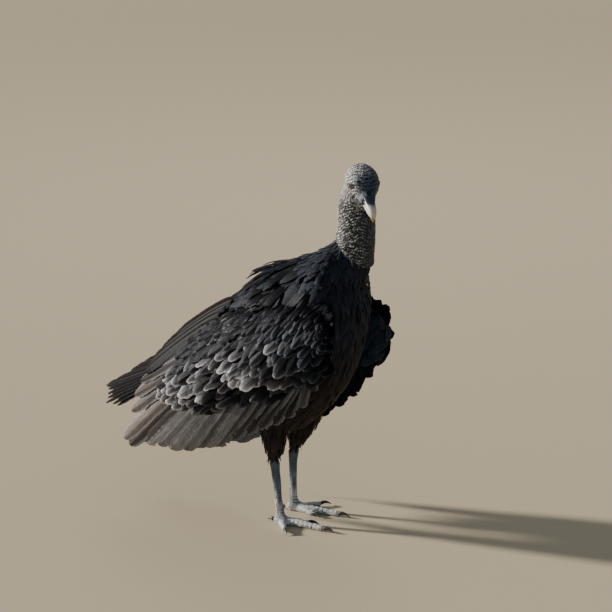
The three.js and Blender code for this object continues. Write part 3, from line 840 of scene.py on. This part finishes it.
def coat_on_skin(name, surface, faces, lie, length, half_width, lift, colour_at, material,
                 steps, jitter=0.12, **look):
    """Vanes that follow the skin from their roots, rising by lift towards their tips."""
    count = len(faces)
    along = vane_places(steps)
    here = surface.centres[faces].copy()
    normal = surface.normals[faces].copy()
    swing = rng.normal(0, jitter, count)
    middle = np.empty((count, steps, 3))
    normals = np.empty((count, steps, 3))
    asides = np.empty((count, steps, 3))
    for step in range(steps):
        way = lie(here)
        way = unit(way - normal * (way * normal).sum(1)[:, None])
        across = np.cross(normal, way)
        way = unit(way + across * swing[:, None])
        asides[:, step] = np.cross(normal, way)
        normals[:, step] = normal
        middle[:, step] = here
        if step < steps - 1:
            ahead = here + way * (length * (along[step + 1] - along[step]))[:, None]
            here, normal, _ = surface.nearest(ahead)
    height = -1.0 + (lift[:, None] + 1.0) * ease(along, -0.1, 1.0)[None] ** 0.8
    middle = middle + normals * height[..., None]
    tone = np.exp(rng.normal(0, 0.22, count))[:, None, None]
    base = colour_at(surface.centres[faces])[:, None, None]

    def colour_of(lengthwise, crosswise):
        # Painted shade and highlight: each feather darkens towards its root, where the one above
        # overlaps it, and lightens along its edges.
        rim = ease(np.abs(crosswise), 0.6, 1.0) * ease(lengthwise, 0.3, 0.9)
        shade = tone * (0.75 + 0.45 * lengthwise + 0.35 * rim)
        return base * shade[..., None]

    obj = vanes(name, middle, normals, asides, half_width, BODY_THICKNESS, SLIM_RING,
                colour_of, surface.uv[faces], tilt=rng.normal(0, 0.14, count), **look)
    finish_piece(obj, material, "plumage")


def breast_colour(points):
    side = ease(np.abs(points[:, 1]), 20, 70)
    colour = blend(BROWN_BLACK * 1.5, BLACK * 2.8, side)
    colour = blend(colour, BROWN_BLACK * 1.9, 1 - ease(points[:, 2], 130, 200))
    return blend(colour, BLUE_BLACK * 2.0, 0.75 * ease(points[:, 2], 210, 360))


def edge_colour(points):
    """The far wing's edge lies in shade, so it is painted lighter and bluer than the near one's.
    """
    far = ease(points[:, 1], -20, 20)
    return blend(BLACK * 1.3, BLUE_BLACK * 2.6, far)


def back_colour(points):
    patches = ease(noise_at(points, 40.0, 4.0), -0.4, 0.6)
    return blend(BLUE_BLACK * 0.8, BROWN_BLACK * 0.6, patches)


def covert_edges(x):
    """Heights of the top and bottom edges of the covert pad."""
    return np.interp(x, COVERT_X, COVERT_TOP), np.interp(x, COVERT_X, COVERT_BOTTOM)


def on_pad(points):
    """True on the skin of the wings' covert pads, false on the body."""
    x = points[:, 0]
    z = points[:, 2] + np.where(points[:, 1] > 0, LEFT_WING_DROP, 0.0)
    top, bottom = covert_edges(x)
    thick = np.interp(x, COVERT_X, COVERT_THICKNESS)
    inside = (z < top + 3) & (z > bottom - 5) & (x > -190) & (x < 137)
    return inside & (np.abs(points[:, 1]) > sheet_reach(x, z) - thick - 3)


def pad_lie(points):
    """The way that feathers on the wing's edge and inner side point."""
    slope = wing_lie(points[:, 0], points[:, 2])
    return np.stack([-np.cos(slope), 0 * slope, -np.sin(slope)], axis=1)


def body_coat(surface):
    p = surface.centres
    soft = feather_material("body_feather", 0.6, 0.10, 0.45, 0.7)
    glossy = feather_material("back_feather", 0.42, 0.07, 0.6, 0.35)
    feathered = bare_share(p) < 0.4
    leg_zone = (p[:, 2] < 165) & (np.abs(p[:, 1]) > 8) & (np.abs(p[:, 1]) < 64)
    leg_zone &= (p[:, 0] > -32) & (p[:, 0] < 52)
    pad = feathered & on_pad(p)
    body = feathered & ~leg_zone & ~pad
    neck = body & (collar_height(p) > -55)
    up = surface.normals[:, 2] - 0.55 * surface.normals[:, 0]
    back = body & ~neck & (up > 0.3)
    front = body & ~neck & ~back
    drift = rng.uniform

    def cover(name, chosen, spacing, lie, length, half_width, lift, colour_at, material,
              size, **look):
        """One coat piece over the chosen skin, with sizes in ranges times size(roots)."""
        faces = scatter(surface, chosen, np.broadcast_to(spacing, len(p)))
        n = len(faces)
        grow = size(p[faces])
        coat_on_skin(name, surface, faces, lie, drift(*length, n) * grow,
                     drift(*half_width, n) * grow, drift(*lift, n) * grow, colour_at,
                     material, **look)

    def even(points):
        return np.ones(len(points))

    def thigh_size(points):
        return 0.62 + 0.38 * ease(points[:, 2], 105, 140)

    def neck_size(points):
        return 1 + 0.6 * ease(-collar_height(points), 4, 50)

    def pad_size(points):
        return 1 + 0.7 * (points[:, 1] > 0) * ease(points[:, 0], 85, 110)

    def mantle_size(points):
        high = ease(points[:, 0], -45, -15)
        return 0.9 + 0.25 * high * (rng.random(len(points)) < 0.6)

    cover("coat_thighs", feathered & leg_zone & (p[:, 2] > ANKLE_HEIGHT + 9), 5.2, leg_lie,
          (20, 28), (3.4, 4.6), (4.0, 6.5), breast_colour, soft, thigh_size, steps=5,
          ragged=0.25)
    cover("coat_neck", neck, 4.4 + 2.6 * ease(-collar_height(p), 4, 55), body_lie, (15, 20),
          (2.8, 3.8), (2.2, 3.8), breast_colour, soft, neck_size, steps=5, ragged=0.3)
    cover("coat_breast", front, 5.9, body_lie, (28, 38), (4.4, 6.2), (2.4, 4.4),
          breast_colour, soft, even, steps=6, ragged=0.22)
    cover("coat_back", back, 6.9, body_lie, (50, 80), (5.4, 8.4), (3.0, 6.5), back_colour,
          glossy, mantle_size, steps=8, ragged=0.25, jitter=0.15)
    cover("coat_wing_edges", pad, 6.4, pad_lie, (15, 22), (3.4, 4.8), (2.6, 4.8),
          edge_colour, glossy, pad_size, steps=5, ragged=0.2, jitter=0.25)
    mantle = back & (np.abs(p[:, 1]) < 55) & (p[:, 0] > 0) & (p[:, 0] < 34)
    cover("coat_mantle_tips", mantle, 12.5, body_lie, (46, 66), (5.0, 7.5), (9.0, 19.0),
          back_colour, glossy, even, steps=10, ragged=0.2, jitter=0.28)


# ---- Wings -----------------------------------------------------------------------------


def sheet_reach(x, z):
    """How far aside a wing's outer sheet lies, bent along and across the wing."""
    above = z - RIDGE_HEIGHT - RIDGE_SLOPE * x
    bend = np.where(above > 0, SHEET_BEND_ABOVE, SHEET_BEND_BELOW)
    return SHEET_REACH - SHEET_BEND_ALONG * (x - SHEET_WIDEST_X) ** 2 - bend * above ** 2


def wing_point(side, x, z, depth):
    """A point at a depth inside one wing's sheet; the left wing hangs lower."""
    drop = LEFT_WING_DROP if side == "left" else 0.0
    return np.stack([x, SIGN[side] * (sheet_reach(x, z) - depth), z - drop], axis=-1)


def wing_normal(side, x, z):
    """The way out of the wing sheet."""
    step = 1.0
    along = wing_point(side, x + step, z, 0) - wing_point(side, x - step, z, 0)
    upward = wing_point(side, x, z + step, 0) - wing_point(side, x, z - step, 0)
    return unit(np.cross(upward, along) * SIGN[side])


def covert_depth(x, z):
    """Depth below the sheet of the covert pad's outer face."""
    top, bottom = covert_edges(x)
    share = np.clip((top - z) / np.maximum(top - bottom, 1), 0, 1)
    fullness = np.sqrt(np.maximum(0, 1 - np.clip(2 * share - 1, -1, 1) ** 4))
    return np.interp(x, COVERT_X, COVERT_THICKNESS) / 2 * (1 - fullness) - 1


def wing_lie(x, z):
    """The slope of the wing's feathers below level, steeper towards the wrist."""
    high = ease(z - covert_edges(x)[0], -50, 0)
    return np.radians(36 + 22 * ease(x, -160, 120) - 12 * high)


def sheet_line(side, roots, tips, depth_of, steps, sag=0.0):
    """Middle lines, normals and ways across for vanes that lie on the wing sheet.

    roots and tips are rows of x and z; sag is how far the middle of a line hangs.
    """
    along = vane_places(steps)[None]
    x = roots[:, 0, None] + (tips - roots)[:, 0, None] * along
    z = roots[:, 1, None] + (tips - roots)[:, 1, None] * along
    z = z - sag * 4 * along * (1 - along)
    middle = wing_point(side, x, z, depth_of(x, z, along))
    normal = wing_normal(side, x, z)
    tangent = unit(np.gradient(middle, axis=1))
    aside = unit(np.cross(normal, tangent))
    return middle, normal, aside


# The far wing lies in shade: its coverts are painted lighter, its quills painted darker, and both
# get less painted highlight on their edges.
COVERT_SHADE = {"right": 1.0, "left": 2.4}
COVERT_RIM = {"right": 1.0, "left": 0.6}
FLIGHT_SHADE = {"right": 1.0, "left": 0.12}
FLIGHT_RIM = {"right": 0.35, "left": 0.06}
COVERT_ROWS = 10
COVERT_STEPS = 10
COVERT_ROW_POWER = 1.65  # above 1, the rows spread out towards the bottom
GREATER_COVERT_LENGTH = 66.0
GREATER_ROW = 1.2  # the greater coverts' row place, past the pad's last row
WRIST_X = 121.0  # coverts of the rows start no further forward than this


def covert_rows():
    """Tips, lengths, half widths and row places (0 at the top edge, 1 at the bottom)."""
    found = []
    for row in range(1, COVERT_ROWS + 1):
        share = (row / COVERT_ROWS) ** COVERT_ROW_POWER
        before = ((row - 1) / COVERT_ROWS) ** COVERT_ROW_POWER
        x = -182.0 + rng.uniform(0, 6)
        while x < COVERT_X[-1]:
            top, bottom = covert_edges(x)
            gap = (top - bottom) * (share - before)
            z = top - (top - bottom) * share - 4 + rng.normal(0, 1.5 + 0.16 * gap)
            found.append((x + rng.normal(0, 1.5), z, 22 + 1.6 * gap, 3.6 + 0.5 * gap, share))
            x += (4.4 + 0.58 * gap) * rng.uniform(0.8, 1.2)
    return np.array(found).T


def greater_coverts():
    """A tier of long feathers below the pad, which hang over the flight feathers."""
    x = np.arange(-168, 96, 11.5)
    x = x + rng.normal(0, 2.0, len(x))
    hang = 24 * ease(x, -150, -90) * (1 - ease(x, 0, 80)) + 5
    z = covert_edges(x)[1] - hang + rng.normal(0, 3.0, len(x))
    length = np.full(len(x), GREATER_COVERT_LENGTH)
    return x, z, length, rng.uniform(10, 12.5, len(x)), np.full(len(x), GREATER_ROW)


def wing_coverts(side, surface, material):
    """Rows of coverts, small and shaggy at the top, broad below, with painted shade towards their
    roots and pale rims that are partly wear and partly painted highlight.
    """
    tiers = np.concatenate([np.array(greater_coverts()), covert_rows()], axis=1)
    tip_x, tip_z, length, half_width, rows = tiers
    slope = wing_lie(tip_x, tip_z) + rng.normal(0, 0.07, len(tip_x))
    front = WRIST_X + rng.uniform(-6, 10, len(tip_x))
    length = np.minimum(length, (front - tip_x) / np.cos(slope))
    keep = (length > 9) & ((rows > 1) | (tip_x > -124 - 0.62 * (290 - tip_z)))
    tip_x, tip_z, length, half_width, rows, slope = (
        values[keep] for values in (tip_x, tip_z, length, half_width, rows, slope))
    half_width = np.minimum(half_width, 2.5 + 0.3 * length)
    tips = np.stack([tip_x, tip_z], axis=1)
    roots = tips + np.stack([np.cos(slope), np.sin(slope)], axis=1) * length[:, None]
    count = len(tips)
    lift = rng.uniform(0.8, 3.4, count) + 1.2 * (1 - rows)
    lift = lift + (rng.random(count) < 0.35) * rng.uniform(0.5, 4.0, count)
    lift = np.where(rows > 1, -0.7 + 0.3 * lift, lift)
    deepest = 1.5 + 12 * (1 - ease(rows, 0.4, 0.6))

    def depth_of(x, z, along):
        on_wing = np.clip(x, COVERT_X[0], COVERT_X[-1])
        pad = np.minimum(covert_depth(on_wing, z), deepest[:, None])
        return pad + 3.5 - (3.5 + lift[:, None]) * along ** 0.8

    middle, normal, aside = sheet_line(side, roots, tips, depth_of, COVERT_STEPS)
    _, _, faces = surface.nearest(middle[:, 0])
    tone = np.exp(rng.normal(0, 0.28, count))[:, None, None]
    # Painted blue sheen on the coverts towards the wrist.
    blue = ease(tip_x, -30, 50) * ease(rows, 0.12, 0.5)
    # Paler coverts at the rear of the lower rows: grey-brown feathers, painted paler in part as
    # painted sunlight.
    pale = ease(-tip_x, -90, 20) * ease(rows, 0.4, 0.7) * np.where(rows < 1.1, 1.0, 0.22)
    pale = pale * rng.choice([0.12, 1.0, 2.0], count)
    base = blend(PURPLE_BROWN * 0.45, BLUE_BLACK * 1.2, blue)
    base = base * COVERT_SHADE[side]
    base = base + GREY_BROWN * 1.35 * pale[:, None]
    base = base[:, None, None]
    wear_and_highlight_amount = (0.03 + 0.65 * pale + 0.05 * blue)[:, None, None]
    wear_and_highlight_amount = wear_and_highlight_amount * COVERT_RIM[side]

    def colour_of(lengthwise, crosswise):
        # Painted shade: each covert darkens towards its root, under the row that overlaps it.
        shade = tone * (0.08 + 1.7 * lengthwise ** 4)
        rim = np.maximum(ease(np.abs(crosswise), 0.6, 1.0), ease(lengthwise, 0.86, 1.0))
        rim = rim * ease(lengthwise, 0.4, 0.9) * wear_and_highlight_amount
        return blend(base * shade[..., None], EDGE_WEAR_AND_HIGHLIGHT, np.clip(rim * tone, 0, 0.9))

    obj = vanes(f"wing_coverts_feathers_{side}", middle, normal, aside, half_width,
                COVERT_VANE_THICKNESS, BROAD_RING, colour_of, surface.uv[faces],
                camber=0.15, grow=0.35, rounding=0.5, ragged=0.16,
                tilt=rng.normal(0, 0.12, count))
    finish_piece(obj, material, "plumage")


def quill_colours(base, rim, tone):
    """Colours of a long feather: painted shade towards one edge and towards the root, edges that
    are partly wear and partly painted highlight, and a pale shaft.
    """

    def colour_of(lengthwise, crosswise):
        # Painted shade: each feather darkens towards one edge, where its neighbour shades it, and
        # towards its root.
        shade = tone[:, None, None] * (0.5 + 0.6 * lengthwise - 0.75 * crosswise)
        shade = np.maximum(shade, 0.05)
        colour = np.atleast_2d(base)[:, None, None] * shade[..., None]
        edge = ease(np.abs(crosswise), 0.75, 1.0) * rim
        colour = blend(colour, EDGE_WEAR_AND_HIGHLIGHT * 0.8, edge)
        on_shaft = np.arange(crosswise.shape[-1]) == SHAFT_PLACE
        shaft = on_shaft * (0.6 - 0.35 * lengthwise)
        return blend(colour, SHAFT, shaft)

    return colour_of


def quills(name, lines, half_width, base, rim, tone, material, *replaced, **look):
    """A row of long feathers from their middle lines, normals and ways across."""
    half_width = np.broadcast_to(half_width, len(tone))
    obj = vanes(name, *lines, half_width, QUILL_THICKNESS, BROAD_RING,
                quill_colours(base, rim, tone), **look)
    finish_piece(obj, material, "flight_feather", *replaced)


FLIGHT_COUNT = 21
FLIGHT_STEPS = 34


def wing_flight(side, material):
    """The fan of flight feathers; the innermost are brown and lie over the others."""
    share = (np.arange(FLIGHT_COUNT) + 0.5) / FLIGHT_COUNT
    roots, tips = smooth_row(FLIGHT_ROOTS, share), smooth_row(FLIGHT_TIPS, share)
    inner = ease(-share, -0.2, -0.05)
    roots = roots + (roots - tips) * (0.12 + 0.3 * inner)[:, None]
    tips = tips + (tips - roots) * rng.normal(0, 0.022, FLIGHT_COUNT)[:, None]
    half_width = np.interp(share, [0, 0.15, 0.3, 0.5, 0.8, 1], [10, 11, 15, 19, 18, 12])

    def depth_of(x, z, along):
        place_in_fan = FLIGHT_DEPTH - 2.5 + 4.5 * share[:, None] * (1 - 0.5 * along)
        laid_over = -3.0 + 3.0 * along
        return mix(place_in_fan - 0.8 * along, laid_over, inner[:, None])

    middle, normal, aside = sheet_line(side, roots, tips, depth_of, FLIGHT_STEPS, sag=3.0)
    towards_next = np.gradient(middle[:, -1], axis=0)
    flip = np.sign((towards_next * aside[:, -1]).sum(1))
    aside = aside * flip[:, None, None]
    tone = np.exp(rng.normal(0, 0.42, FLIGHT_COUNT))
    base = blend(GREY_BROWN * 2.7, OLD_BROWN * 1.2, 1 - ease(share, 0.3, 0.42))
    base = blend(base, TERTIAL_BROWN, ease(-share, -0.14, -0.06))
    # Painted shade: the flight feathers towards the wrist are darkened to near black.
    base = blend(base, BLACK * 1.6, 0.85 * ease(share, 0.55, 0.75))
    base = base * FLIGHT_SHADE[side]
    quills(f"flight_feathers_{side}", (middle, normal, aside), half_width, base,
           FLIGHT_RIM[side], tone, material, f"wing_flight_{side}",
           camber=0.10, grow=0.12, rounding=0.16, ragged=0.07, tilt=0.09)


TERTIAL_ROOTS = np.array([(-88, 306), (-84, 316), (-78, 326), (-70, 334)], float)
TERTIAL_TIPS = np.array([(-214, 206), (-206, 222), (-192, 240), (-172, 262)], float)
TERTIAL_HALF_WIDTH = 12.5


def tertials(side, material):
    """Broad brown feathers that close the wing against the back."""
    count = len(TERTIAL_ROOTS)
    lift = np.linspace(-1.5, 2.0, count)[:, None]

    def depth_of(x, z, along):
        return 1.0 + lift - 3.0 * along

    lines = sheet_line(side, TERTIAL_ROOTS, TERTIAL_TIPS, depth_of, FLIGHT_STEPS, sag=-5.0)
    tone = np.exp(rng.normal(0, 0.2, count))
    quills(f"tertial_feathers_{side}", lines, TERTIAL_HALF_WIDTH, TERTIAL_BROWN * 0.5, 0.02,
           tone, material, camber=0.12, grow=0.2, rounding=0.22, ragged=0.1, tilt=0.05)


# ---- Tail ------------------------------------------------------------------------------


def tail_feathers(material):
    """The fan of the tail, its left side raised and its outer left feathers shorter."""
    back = np.array([-math.cos(TAIL_PITCH), 0, -math.sin(TAIL_PITCH)])
    left = np.array([0, math.cos(TAIL_ROLL), math.sin(TAIL_ROLL)])
    up = unit(np.cross(left, back))
    aside_share = 2 * np.arange(TAIL_COUNT) / (TAIL_COUNT - 1) - 1
    far = aside_share > 0.45
    angle = aside_share * TAIL_SPREAD / 2 + rng.normal(0, 0.012, TAIL_COUNT) + 0.03 * far
    length = TAIL_LENGTH * (1 - TAIL_NEAR_SHORTENING * np.maximum(0, -aside_share) ** 2)
    length = length * (1 - rng.uniform(0, 0.09, TAIL_COUNT)) * (1 - 0.14 * far)
    along = vane_places(FLIGHT_STEPS)[None, :, None]
    way = back * np.cos(angle)[:, None] + left * np.sin(angle)[:, None]
    crown = TAIL_CROWN * (1 - aside_share ** 2) + 0.8 * (aside_share > 0)
    start = TAIL_ROOT + left * (aside_share * TAIL_ROOT_HALF_WIDTH)[:, None]
    droop = -4.0 * along ** 2 * np.abs(aside_share)[:, None, None]
    middle = start[:, None] + way[:, None] * along * length[:, None, None]
    middle = middle + up * (crown[:, None, None] + droop)
    aside = np.broadcast_to(unit(np.cross(up, way))[:, None], middle.shape)
    aside = aside * np.where(aside_share > 0, 1, -1)[:, None, None]
    normal = np.broadcast_to(up, middle.shape)
    tone = np.exp(rng.normal(0, 0.3, TAIL_COUNT))
    quills("tail_feathers", (middle, normal, aside), TAIL_FEATHER_HALF_WIDTH,
           BROWN_BLACK * 0.55, 0.04, tone, material, "tail", camber=0.08, grow=0.2,
           rounding=0.2, ragged=0.14, tilt=-0.1)


# ---- Bill, eyes and claws --------------------------------------------------------------

UPPER_BILL = np.array([
    (26, 7.5, 7, -2), (35, 9.3, 9.4, -3.4), (44, 7.8, 8.0, -3.6), (55, 6.6, 7.4, -4),
    (63, 5.2, 5, -5), (67.5, 3.4, 1, -7.5), (69.4, 1.5, -5, -10.5),
], float)  # place, half width, height of the upper and the lower edge
LOWER_BILL = np.array([
    (26, 6.5, -3, -8.5), (33, 7.4, -3.5, -9.4), (46, 6, -3.9, -9.2), (57, 4.4, -4.4, -8.6),
    (63.5, 1.8, -6, -8),
], float)
NOSTRIL_PINCH = 0.35  # share of the bill's width taken away at the nostrils


def bill_piece(name, stations, node):
    """One half of the bill, through its stations, pinched at the nostrils when upper."""
    steps, ring = 40, 28
    rows = smooth_row(stations, np.linspace(0, 1, steps))
    turn = np.linspace(0, 2 * math.pi, ring, endpoint=False)
    middle = (rows[:, 2] + rows[:, 3]) / 2
    half = (rows[:, 2] - rows[:, 3]) / 2
    across = np.cos(turn)[None] * rows[:, 1][:, None]
    above = middle[:, None] + np.sin(turn)[None] * half[:, None]
    ahead = np.repeat(rows[:, 0][:, None], ring, 1)
    nostril = bell((ahead - 37) / 3.2, (above - 3.4) / 1.5)
    if name == "bill_upper_horn":
        across = across * (1 - NOSTRIL_PINCH * nostril)
    points = head_point(ahead, across, above)[None]
    colours = bill_colours(ahead, above, nostril)[None]
    obj = rings_mesh(name, points, colours)
    finish_piece(obj, horn_material(name, 0.34), "horn", node)


def bill_colours(ahead, above, nostril):
    ivory = np.array([0.62, 0.56, 0.45])
    tan = np.array([0.45, 0.24, 0.10])
    dark = np.array([0.020, 0.030, 0.044])
    grey = np.array([0.36, 0.36, 0.36])
    colour = blend(dark, grey, ease(ahead - 1.6 * above, 36, 43))
    colour = blend(colour, ivory, ease(ahead - 1.6 * above, 40, 50))
    colour = blend(colour, tan, ease(ahead - above, 66, 75))
    # Painted shade: the nostril is darkened to stand for its opening.
    return blend(colour, dark * 0.3, nostril * 0.9)


def eye(side):
    """An eyeball with a dark pupil, brown iris and darker rim."""
    mesh = bpy.data.meshes.new(f"eyeball_{side}")
    bm = bmesh.new()
    bmesh.ops.create_uvsphere(bm, u_segments=40, v_segments=24, radius=EYEBALL_RADIUS * MM)
    bm.to_mesh(mesh)
    bm.free()
    centre = head_point(EYE_PLACE[0], SIGN[side] * EYE_PLACE[1], EYE_PLACE[2])
    local = np.array([v.co for v in mesh.vertices]) / MM
    out = EYE_AXIS[0] * HEAD_AHEAD + EYE_AXIS[1] * SIGN[side] * HEAD_LEFT
    centre = centre - out * EYEBALL_SUNK
    off_axis = np.degrees(np.arccos(np.clip(unit(local) @ out, -1, 1)))
    pupil, iris = np.array([0.004, 0.004, 0.005]), np.array([0.075, 0.024, 0.012])
    rim = np.array([0.02, 0.014, 0.012])
    colours = blend(pupil, iris, ease(off_axis, 20, 24))
    colours = blend(colours, rim, ease(off_axis, 42, 48))
    mesh.vertices.foreach_set("co", place(local + centre).astype(np.float32).ravel())
    set_smooth(mesh)
    set_tint(mesh, colours)
    obj = add_object(f"eyeball_{side}", mesh)
    nodes = Nodes(f"eye_{side}", 0.06, Specular_IOR_Level=0.6, Coat_Weight=1.0)
    nodes.varied_tint(900.0, 0.7, 1.3)
    finish_piece(obj, nodes.material, "eye", f"eye_{side}")


def claw(side, toe, material):
    """A claw that bends down from a toe's end and thins to its tip."""
    angle, length, girth = TOES[toe]
    angle = math.radians(angle) * -SIGN[side]
    way = np.array([math.cos(angle), math.sin(angle), 0])
    across = np.array([-way[1], way[0], 0])
    up = np.array([0, 0, 1.0])
    steps, ring = 16, 14
    share = np.linspace(0, 1, steps)
    turn = np.linspace(0, 2 * math.pi, ring, endpoint=False)
    radius = 2.9 * (1 - share) ** 0.7 + 0.3
    root = girth * 0.42
    height = root - share ** 2 * (root - 0.9) + 1.6 * np.sin(math.pi * share)
    run = length - 1.5 + share * (15 * girth / 11 + 1.5)
    foot = np.array([*FEET[side], 0.0])
    middle = foot + np.multiply.outer(run, way) + np.multiply.outer(height, up)
    points = (middle[:, None] + np.multiply.outer(radius, np.cos(turn))[..., None] * across * 0.8
              + np.multiply.outer(radius, np.sin(turn))[..., None] * up)
    points[..., 2] = np.maximum(points[..., 2], 0.3)
    dark, tip = np.array([0.035, 0.031, 0.028]), np.array([0.16, 0.14, 0.12])
    colours = blend(dark, tip, ease(share, 0.5, 1.0))
    colours = np.repeat(colours[:, None], ring, 1)
    obj = rings_mesh(f"talon_{side}_{toe}", points[None], colours[None])
    finish_piece(obj, material, "claw", f"claw_{side}_{toe}")


# ---- Camera, lights and floor ----------------------------------------------------------

CAMERA_AZIMUTH = math.radians(30)
CAMERA_ELEVATION = math.radians(15)
CAMERA_DISTANCE = 6.0
VIEW_WIDTH = 612 * 1.5 * MM
VIEW_RIGHT = 30.0  # the picture's middle, right of and above the design origin
VIEW_UP = 315.0
SUN_WAY = (-0.935, -0.215, 0.285)  # towards the key light


def camera_and_lights():
    right = np.array([math.cos(CAMERA_AZIMUTH), math.sin(CAMERA_AZIMUTH), 0])
    towards = np.array([
        math.sin(CAMERA_AZIMUTH) * math.cos(CAMERA_ELEVATION),
        -math.cos(CAMERA_AZIMUTH) * math.cos(CAMERA_ELEVATION),
        math.sin(CAMERA_ELEVATION),
    ])
    up = np.cross(towards, right)
    target = place(right * VIEW_RIGHT + up * VIEW_UP)
    data = bpy.data.cameras.new("camera")
    data.sensor_width = 36
    data.lens = 36 * CAMERA_DISTANCE / VIEW_WIDTH
    data.clip_end = 50
    camera = add_object("camera", data)
    camera.location = target + towards * CAMERA_DISTANCE
    camera.rotation_euler = Vector(towards).to_track_quat("Z", "Y").to_euler()
    bpy.context.scene.camera = camera

    middle = place((20, 0, 300))

    def light(name, kind, way, distance, power, colour, **settings):
        light_data = bpy.data.lights.new(name, kind)
        light_data.energy = power
        light_data.color = colour
        for setting, value in settings.items():
            setattr(light_data, setting, value)
        lamp = add_object(name, light_data)
        way = Vector(unit(way))
        lamp.location = Vector(middle) + way * distance
        lamp.rotation_euler = way.to_track_quat("Z", "Y").to_euler()

    light("fill", "AREA", (0.6, -1.0, 0.45), 3.4, 13, (0.68, 0.84, 1.0), size=2.6)
    light("rim", "AREA", (-0.5, 1.0, 0.8), 3.0, 14, (1.0, 0.98, 0.95), size=1.2)
    light("key", "SUN", SUN_WAY, 3.0, 7.6, (1.0, 0.94, 0.86), angle=math.radians(4))

    world = bpy.data.worlds.new("world")
    world.use_nodes = True
    sky = world.node_tree.nodes["Background"]
    sky.inputs["Color"].default_value = (0.72, 0.81, 0.95, 1)
    sky.inputs["Strength"].default_value = 0.22
    bpy.context.scene.world = world


def floor():
    mesh = bpy.data.meshes.new("floor")
    reach = 12.0
    corners = [(-reach, -reach, 0), (reach, -reach, 0), (reach, reach, 0), (-reach, reach, 0)]
    mesh.from_pydata(corners, [], [(0, 1, 2, 3)])
    obj = add_object("floor", mesh)
    nodes = Nodes("floor", 0.9)
    grain = nodes.add("ShaderNodeTexNoise", Scale=3.0)
    ramp = nodes.add("ShaderNodeValToRGB")
    ramp.color_ramp.elements[0].color = (0.51, 0.425, 0.28, 1)
    ramp.color_ramp.elements[1].color = (0.58, 0.49, 0.335, 1)
    nodes.join(grain.outputs["Fac"], ramp.inputs["Fac"])
    nodes.join(ramp.outputs["Color"], nodes.shader.inputs["Base Color"])
    obj.data.materials.append(nodes.material)


# ---- Making ----------------------------------------------------------------------------

camera_and_lights()
floor()
skin = build_skin()
surface = Surface(skin)
body_coat(surface)
covert_material = feather_material("covert", 0.42, 0.055, 0.55, 0.45)
quill_material = feather_material("quill", 0.5, 0.055, 0.6, 0.2)
for side_name in SIDES:
    wing_coverts(side_name, surface, covert_material)
    wing_flight(side_name, quill_material)
    tertials(side_name, quill_material)
    eye(side_name)
tail_feathers(quill_material)
bill_piece("bill_upper_horn", UPPER_BILL, "bill_upper")
bill_piece("bill_lower_horn", LOWER_BILL, "bill_lower")
claw_material = horn_material("claw", 0.4)
for side_name in SIDES:
    for toe_name in TOES:
        claw(side_name, toe_name, claw_material)
